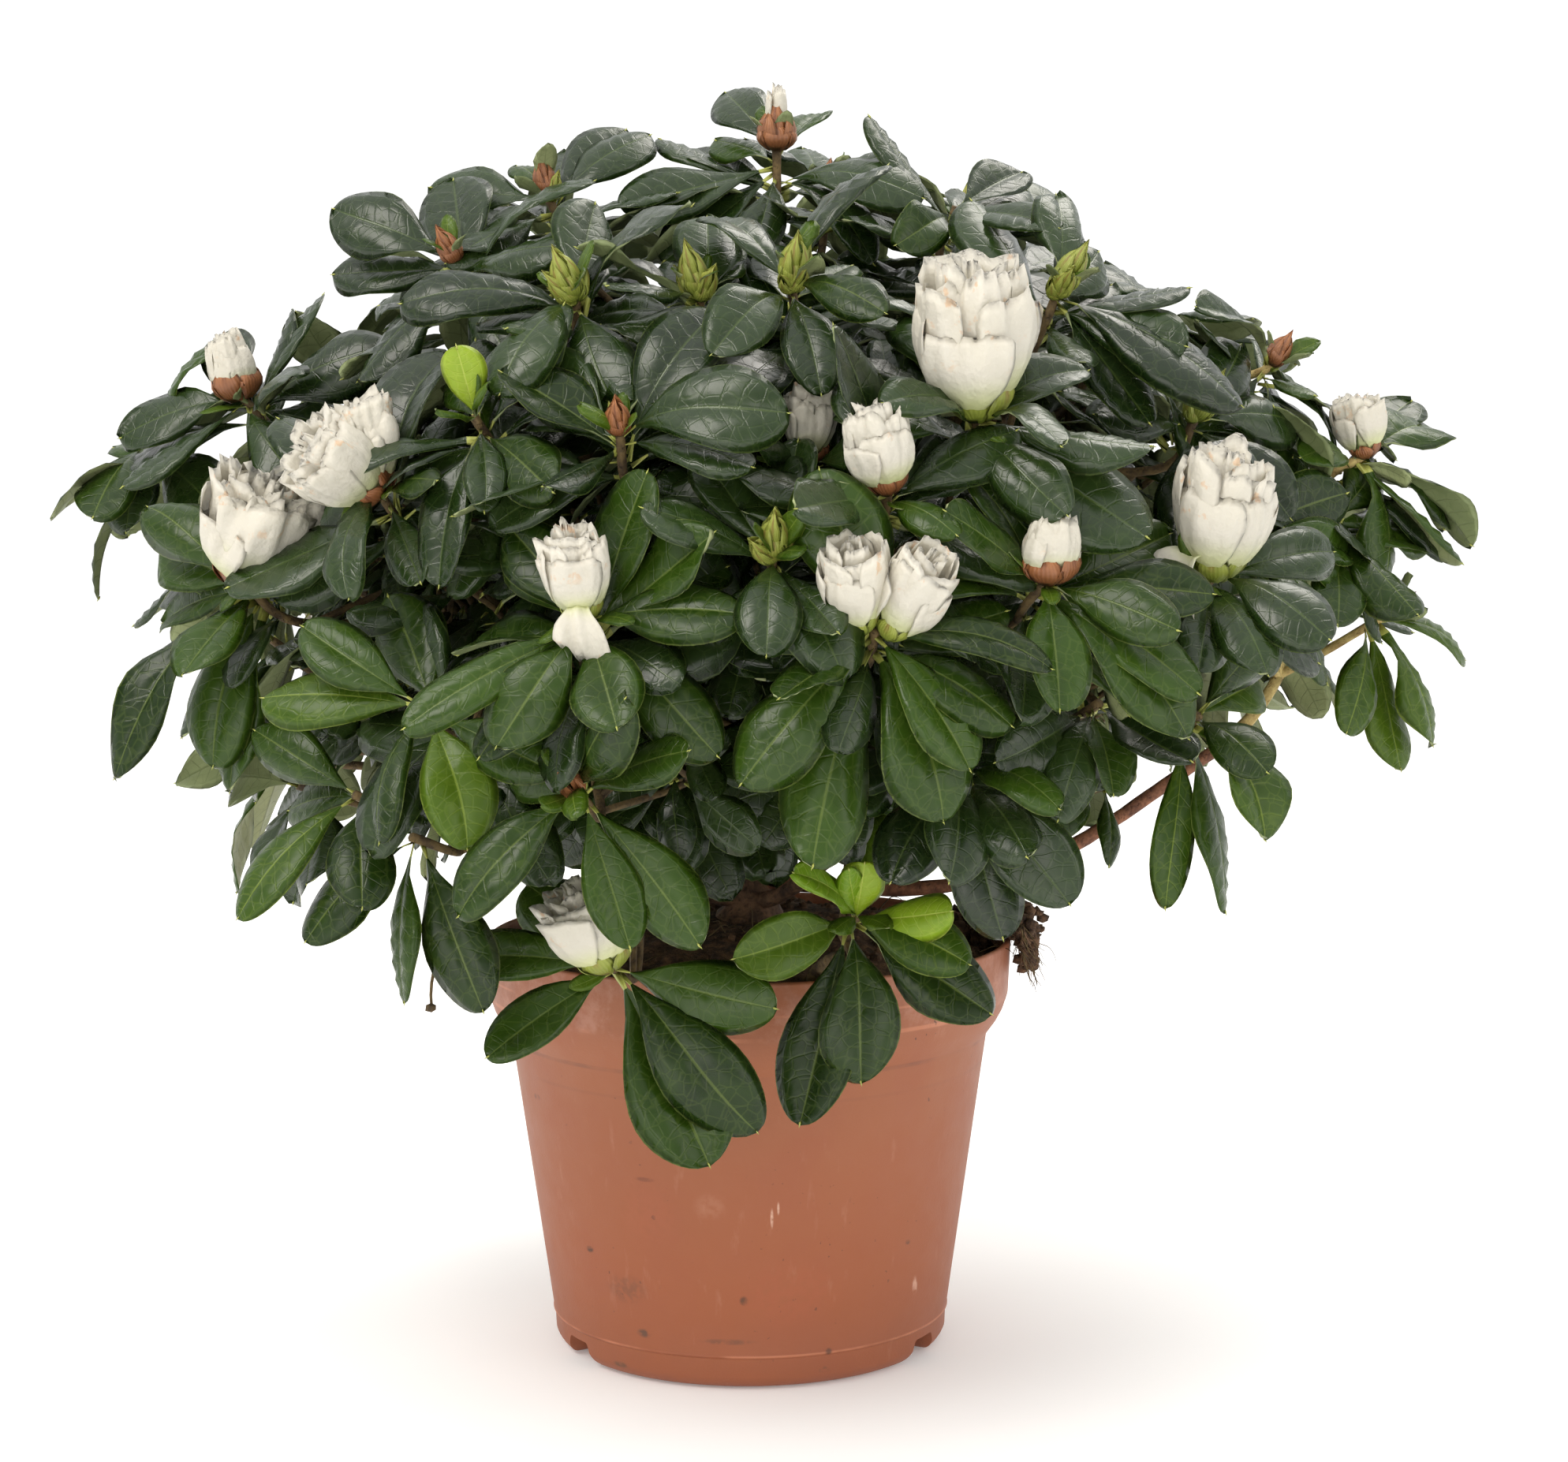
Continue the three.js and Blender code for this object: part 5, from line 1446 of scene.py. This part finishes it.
def fibre(pile, start, way, length, roll, look, thick):
    """A root or stem thread that wanders and hangs down."""
    points = [np.array(start, float)]
    for _ in range(6):
        way = unit(way + np.array([roll() - 0.5, roll() - 0.5, roll() - 0.75]) * 0.8)
        points.append(points[-1] + way * length / 6)
    tube(pile, through(points, 3), [thick, thick * 0.4], look, *LIMBS["thread"], shade=roll())


def peat_body(pile):
    """The peat's uneven top and the sides that it has down to the pot's plate."""
    angle = np.arange(PEAT_SIDES) * FULL_TURN / PEAT_SIDES
    r, a = np.meshgrid(np.linspace(0.01, PEAT_RADIUS, PEAT_RINGS), angle)
    lower = [
        (PEAT_RADIUS, BAND_LOW),
        (STEP_RADIUS - WALL - PEAT_CLEAR, STEP_HEIGHT + 1),
        (SEAM_RADIUS - WALL - PEAT_CLEAR, PLATE_TOP + PEAT_CLEAR),
        (0.01, PLATE_TOP + PEAT_CLEAR),
    ]
    walls = np.tile(np.array(lower).T[:, None], (1, PEAT_SIDES, 1))
    radius = np.concatenate([r, walls[0]], 1)
    height = np.concatenate([peat_height(r, a), walls[1]], 1)
    grid = np.stack([radius * np.cos(angle)[:, None], radius * np.sin(angle)[:, None], height], -1)
    columns = grid.shape[1]
    rows = np.arange(PEAT_SIDES + 1) % PEAT_SIDES
    number = np.arange(PEAT_SIDES * columns).reshape(PEAT_SIDES, columns)[rows]
    pile.add(grid.reshape(-1, 3), [quads(number)], "peat", grid_places(PEAT_SIDES + 1, columns))


def on_peat(roll, share=1.0, lift=0.0):
    """A random point of the peat's top, within a share of its radius."""
    r, a = PEAT_RADIUS * math.sqrt(roll()) * share, 6.283 * roll()
    return np.array([r * math.cos(a), r * math.sin(a), peat_height(r, a) + lift])


def in_rim(at):
    """Whether a crumb would stand in the pot's rim."""
    radius = math.hypot(at[0], at[1])
    return RIM_RADIUS - WALL - 2 < radius < RIM_RADIUS + 2 and at[2] < RIM_TOP + 1


def add_crumbs(pile, roll):
    """Crumbs strewn over the peat's top."""
    for _ in range(CRUMBS["count"]):
        at = on_peat(roll)
        crumb(pile, at, lerp(*CRUMBS["size"], roll() ** 2), roll)


def add_spill(pile, roll):
    """The lumps of crumbs that spill over the rim on the right."""
    for lump in SPILL:
        for _ in range(lump["crumbs"]):
            way = unit(np.array([roll() - 0.5, roll() - 0.5, roll() - 0.5]))
            at = np.array(lump["at"]) + way * np.array(lump["size"]) * lerp(0.2, 1.0, roll() ** 0.5)
            if not in_rim(at):
                crumb(pile, at, lerp(*SPILT_CRUMB, roll() ** 2), roll)


def add_roots(pile, roll):
    """Root threads that hang out of the spill, clear of the rim."""
    for _ in range(ROOTS["count"]):
        a = ROOTS["turn"] + ROOTS["spread"] * (roll() - 0.5)
        x = max((RIM_RADIUS + 4 * (roll() - 0.3)) * math.cos(a), RIM_RADIUS + 1.2)
        start = (x, (RIM_RADIUS + 3) * math.sin(a), lerp(*ROOTS["height"], roll()))
        way = unit(np.array([0.35, roll() - 0.5, -0.5]))
        length = lerp(*ROOTS["length"], roll())
        fibre(pile, start, way, length, roll, "young" if roll() < 0.6 else "bark", ROOTS["thick"])


def add_litter(pile, roll):
    """Dry stalks that lie on the peat."""
    for _ in range(LITTER["count"]):
        at = on_peat(roll, LITTER["within"], LITTER["lift"])
        way = unit(np.array([roll() - 0.5, roll() - 0.5, 0.25]))
        fibre(pile, at, way, lerp(*LITTER["length"], roll()), roll, "young", LITTER["thick"])


def make_peat():
    pile = Pile("peat_surface", ["peat", "young", "bark"], "peat", ["peat"])
    peat_body(pile)
    roll = dice(SEED["peat"])
    for add in (add_crumbs, add_spill, add_roots, add_litter):
        add(pile, roll)
    pile.make()


# The plant


def make_limbs(masses):
    stem = Pile("stem_bark", ["bark"], "bark", ["stem"])
    heights = np.linspace(STEM_FOOT - STEM_SUNK, STEM_TOP, 26)
    way = np.array([(0.25 * math.sin(z / 4), 0.2 * math.cos(z / 3), z) for z in heights])
    radii = np.interp(heights, [z for _, z in STEM_PROFILE], [r for r, _ in STEM_PROFILE])
    tube(stem, way, radii, "bark", *LIMBS["stem"], SEED["stem"])
    stem.make()
    boughs = Pile("bough_bark", ["bark", "young", "red"], "bark", ["bough_" + m["name"] for m in masses])
    for i, mass in enumerate(masses):
        look = {"new_growth": "young", "bare_branch": "red"}.get(mass["name"], "bark")
        radii = [BOUGH_BASE, BOUGH_TIP]
        tube(boughs, mass["bough"], radii, look, *LIMBS["bough"], SEED["bough"] + i, i / len(masses))
    boughs.make()


def twig_look(mass):
    return "tan" if mass["name"] == "bare_branch" else "young"


def leaf_tone(shoot, span, roll):
    """The tone of one leaf: its shoot's, but lighter where it is young and darker on a lime shoot's foot."""
    if shoot["tone"] == "lime":
        return "lime" if span < 21 else "fresh" if span < 28 else "mid"
    if shoot["tone"] == "fresh" and roll() > 0.4:
        return "mid"
    if shoot["tone"] == "dark" and (span < 17 or roll() > 0.93):
        return "mid"
    return shoot["tone"]


def whorl(shoot):
    """A shoot's leaves: way, length, face, the span that sets the tone, and the half width or none."""
    by_rule = [(*row, row[1], None) for row in rule_leaves(shoot["axis"], shoot["seed"], 0, LEAVES_A_SHOOT)]
    if not shoot["shown"]:
        return by_rule
    found = []
    for heading, span, *half_width in shoot["leaves"]:
        found.append((*shown_leaf(heading, span, shoot["axis"]), span, *(half_width or [None])))
    if shoot["at"][1] > FILLED_ABOVE:
        found += [row for row in by_rule if row[0][1] > BEHIND]
    return found


def dark_leaves(leaves, shoot, rows, below, step, share, blade, roll):
    """Leaves at a share of their length, from some way below a shoot's tip and in steps down it."""
    for k, (way, length, face) in enumerate(rows):
        root = along_shoot(shoot, -below - step * k) + way * LEAF_OUT
        leaf(leaves, root, way, face, length * share, "dark", roll, blade=blade)


def dress_shoot(mass, shoot, leaves, twigs, flowers):
    roll = dice(shoot["seed"] + 5)
    way = twig_way(mass, shoot)
    radii = [TWIG_RADIUS * 1.15, TWIG_RADIUS, TWIG_RADIUS * 0.95, TWIG_RADIUS]
    look = twig_look(mass) if shoot["shown"] else "young"
    tube(twigs, way, radii, look, *LIMBS["twig"], shoot["seed"], roll())
    for k, (direction, length, face, span, half_width) in enumerate(whorl(shoot)):
        root = along_shoot(shoot, -1 - LEAF_STEP * k) + direction * LEAF_OUT
        tone = leaf_tone(shoot, span, roll)
        if tone == "lime" and half_width is None:
            half_width = LIME_WIDTH
        leaf(leaves, root, direction, face, length, tone, roll, half_width)
    dress_tip(shoot, leaves, flowers, roll)
    if "sparse" in shoot:
        return
    if shoot["at"][1] > SIDES["lowest"]:
        older = rule_leaves(shoot["axis"], shoot["seed"] + 3, OLDER["first"], OLDER["count"])
        dark_leaves(leaves, shoot, older, OLDER["below"], OLDER["step"], OLDER["length"], COARSE, roll)
    for side in fill_shoots(shoot["at"], shoot["seed"], SIDES, way):
        dress_side(side, leaves, twigs, roll)


def dress_tip(shoot, leaves, flowers, roll):
    """The bloom, buds or young leaves at a shoot's tip."""
    tip, axis, seed = shoot["tip"], shoot["axis"], shoot["seed"]
    kind = shoot.get("bud")
    if shoot.get("bloom"):
        blade = PETAL if shoot["shown"] else PLAIN_PETAL
        bloom(flowers, tip, bloom_way(shoot), *shoot["bloom"][1:], shoot["form"], seed, blade)
        bracts(leaves, tip - axis * 2, axis, seed + 1, 2, BRACT["drooping"])
    elif kind == "bursting":
        bud(flowers, tip, axis, *BURSTING_BUD, "scale_rust", seed, True)
        bracts(leaves, tip, axis, seed + 1)
    elif kind == "lime":
        upright = unit(axis + np.array([0, 0, 1]))
        size = LIME_LEAF["length"]
        leaf(leaves, tip - axis, upright, np.array(SHOWN_FACE), size, "lime", roll, LIME_LEAF["half_width"])
        bracts(leaves, tip, axis, seed + 1, 3)
    elif kind:
        for size, away in BUD_SIZES[kind]:
            across = turned_about(standing_frame(axis)[0], axis, 6.28 * roll())
            look = "scale_green" if away > 0.5 else "scale_" + kind
            way = unit(axis + away * across)
            bud(flowers, tip - axis * 2 * away, way, *size, look, seed + int(100 * away))
        bracts(leaves, tip, axis, seed + 1, 3)


def dress_side(side, leaves, twigs, roll):
    kind = side["kind"]
    way = through([side["fork"], along_shoot(side, -SIDE_STRAIGHT), side["tip"]], 5)
    radii = [TWIG_RADIUS * 0.8, TWIG_RADIUS * 0.65]
    tube(twigs, way, radii, "young", *LIMBS["side_twig"], side["seed"], roll())
    rows = rule_leaves(side["axis"], side["seed"], 0, kind["leaves"])
    dark_leaves(leaves, side, rows, 1, 2.2, kind["length"], kind["blade"], roll)


def dress_mass(mass, leaves, twigs, front, back):
    stem = mass_stem_way(mass)
    tube(twigs, stem, [BOUGH_TIP, MASS_STEM_TIP], twig_look(mass), *LIMBS["mass_stem"], SEED["mass_stem"])
    for shoot in mass["shoots"]:
        dress_shoot(mass, shoot, leaves, twigs, front if shoot["shown"] else back)
    if "way" in mass or "open" in mass:
        return
    seed = SEED["shown"] + len(mass["name"]) + int(mass["foot"]) * 31 + int(mass["at"][0])
    for side in fill_shoots((*mass["at"], 1), seed, INNER, stem):
        dress_side(side, leaves, twigs, dice(side["seed"]))


def add_dry_stalk(twigs):
    """The dry stalk that hangs under the leaves left of the pot, with a seed at its end."""
    way = bezier(DRY_STALK["way"], 8)
    tube(twigs, way, DRY_STALK["radii"], "young", *LIMBS["dry_stalk"], SEED["dry_stalk"], 0.1)
    crumb(twigs, way[-1], DRY_STALK["seed_size"], dice(SEED["dry_seed"]), "young")


def make_plant():
    masses = [dict(m) for m in MASSES]
    for mass in masses:
        mass["bough"] = bough_way(mass)
        mass["heart"] = on_dome(*mass["at"], mass.get("reach", FORK_REACH))
        mass["shoots"] = []
    for shoot in shoots():
        nearest = min(masses, key=lambda mass: np.linalg.norm(mass["heart"] - shoot["tip"]))
        nearest["shoots"].append(shoot)
    make_limbs(masses)
    foliage = ["foliage_" + m["name"] for m in masses]
    twigs = Pile("twig_wood", ["young", "tan"], "bark", foliage)
    front = Pile("blossom_front", FLOWER_LOOKS, "petal", foliage)
    back = Pile("blossom_back", FLOWER_LOOKS, "petal", foliage)
    for name, members in LEAF_GROUPS.items():
        leaves = Pile(name, LEAF_LOOKS, "foliage", ["foliage_" + m for m in members])
        for mass in masses:
            if mass["name"] in members:
                dress_mass(mass, leaves, twigs, front, back)
        leaves.make()
    add_dry_stalk(twigs)
    for pile in (twigs, front, back):
        pile.make()


# Floor, light and camera


def make_stage():
    corners = [(x * FLOOR_HALF, y * FLOOR_HALF, 0) for x, y in ((-1, -1), (1, -1), (1, 1), (-1, 1))]
    mesh = bpy.data.meshes.new("floor")
    mesh.from_pydata(corners, [], [(0, 1, 2, 3)])
    mesh.materials.append(LOOKS["floor"])
    floor = in_scene("floor", mesh)
    floor.location.z = -FLOOR_DROP
    make_world()
    for name, lamp in LAMPS.items():
        make_lamp(name, **lamp)
    bpy.context.scene.view_settings.view_transform = "Standard"
    bpy.context.scene.view_settings.look = "None"


def make_world():
    """Soft light all round: bright above, behind and along the floor, and dimmer from the camera's side."""
    world = bpy.data.worlds.new("studio")
    world.use_nodes = True
    nodes = Nodes(world.node_tree)
    _, depth, height = nodes.split(nodes.outputs("ShaderNodeTexCoord", {})["Generated"])
    above = nodes.between(height, 0.1, 0.9)
    behind = nodes.between(depth, 0.2, 0.7)
    level = nodes.outside(abs(height), 0.2, 0.35)
    background = world.node_tree.nodes["Background"]
    nodes.feed(background.inputs["Strength"], nodes.most(nodes.most(above, behind), level) * 0.85 + 0.25)
    background.inputs["Color"].default_value = (1, 1, 1, 1)
    bpy.context.scene.world = world


def make_lamp(name, at, size, power):
    data = bpy.data.lights.new(name, "AREA")
    data.size, data.energy, data.color = size, power, LAMP_COLOUR
    light = in_scene(name, data)
    light.location = at
    light.rotation_euler = (Vector(LAMP_TARGET) - Vector(at)).to_track_quat("-Z", "Y").to_euler()


def make_camera():
    data = bpy.data.cameras.new("camera")
    data.sensor_width = SENSOR
    data.lens = SENSOR * FOCAL_SHARE
    data.clip_start, data.clip_end = 0.01, 50
    camera = in_scene("camera", data)
    level = Vector((math.sin(CAMERA_YAW), math.cos(CAMERA_YAW), 0))
    right = Vector((math.cos(CAMERA_YAW), -math.sin(CAMERA_YAW), 0))
    ahead = level * math.cos(CAMERA_PITCH) - Vector((0, 0, math.sin(CAMERA_PITCH)))
    up = level * math.sin(CAMERA_PITCH) + Vector((0, 0, math.cos(CAMERA_PITCH)))
    across = right * math.cos(CAMERA_ROLL) - up * math.sin(CAMERA_ROLL)
    upward = right * math.sin(CAMERA_ROLL) + up * math.cos(CAMERA_ROLL)
    turn = Matrix((across, upward, -ahead)).transposed()
    camera.matrix_world = Matrix.Translation(Vector(CAMERA_AT) * MM) @ turn.to_4x4()
    bpy.context.scene.camera = camera


make_camera()
make_stage()
make_pot()
make_peat()
make_plant()
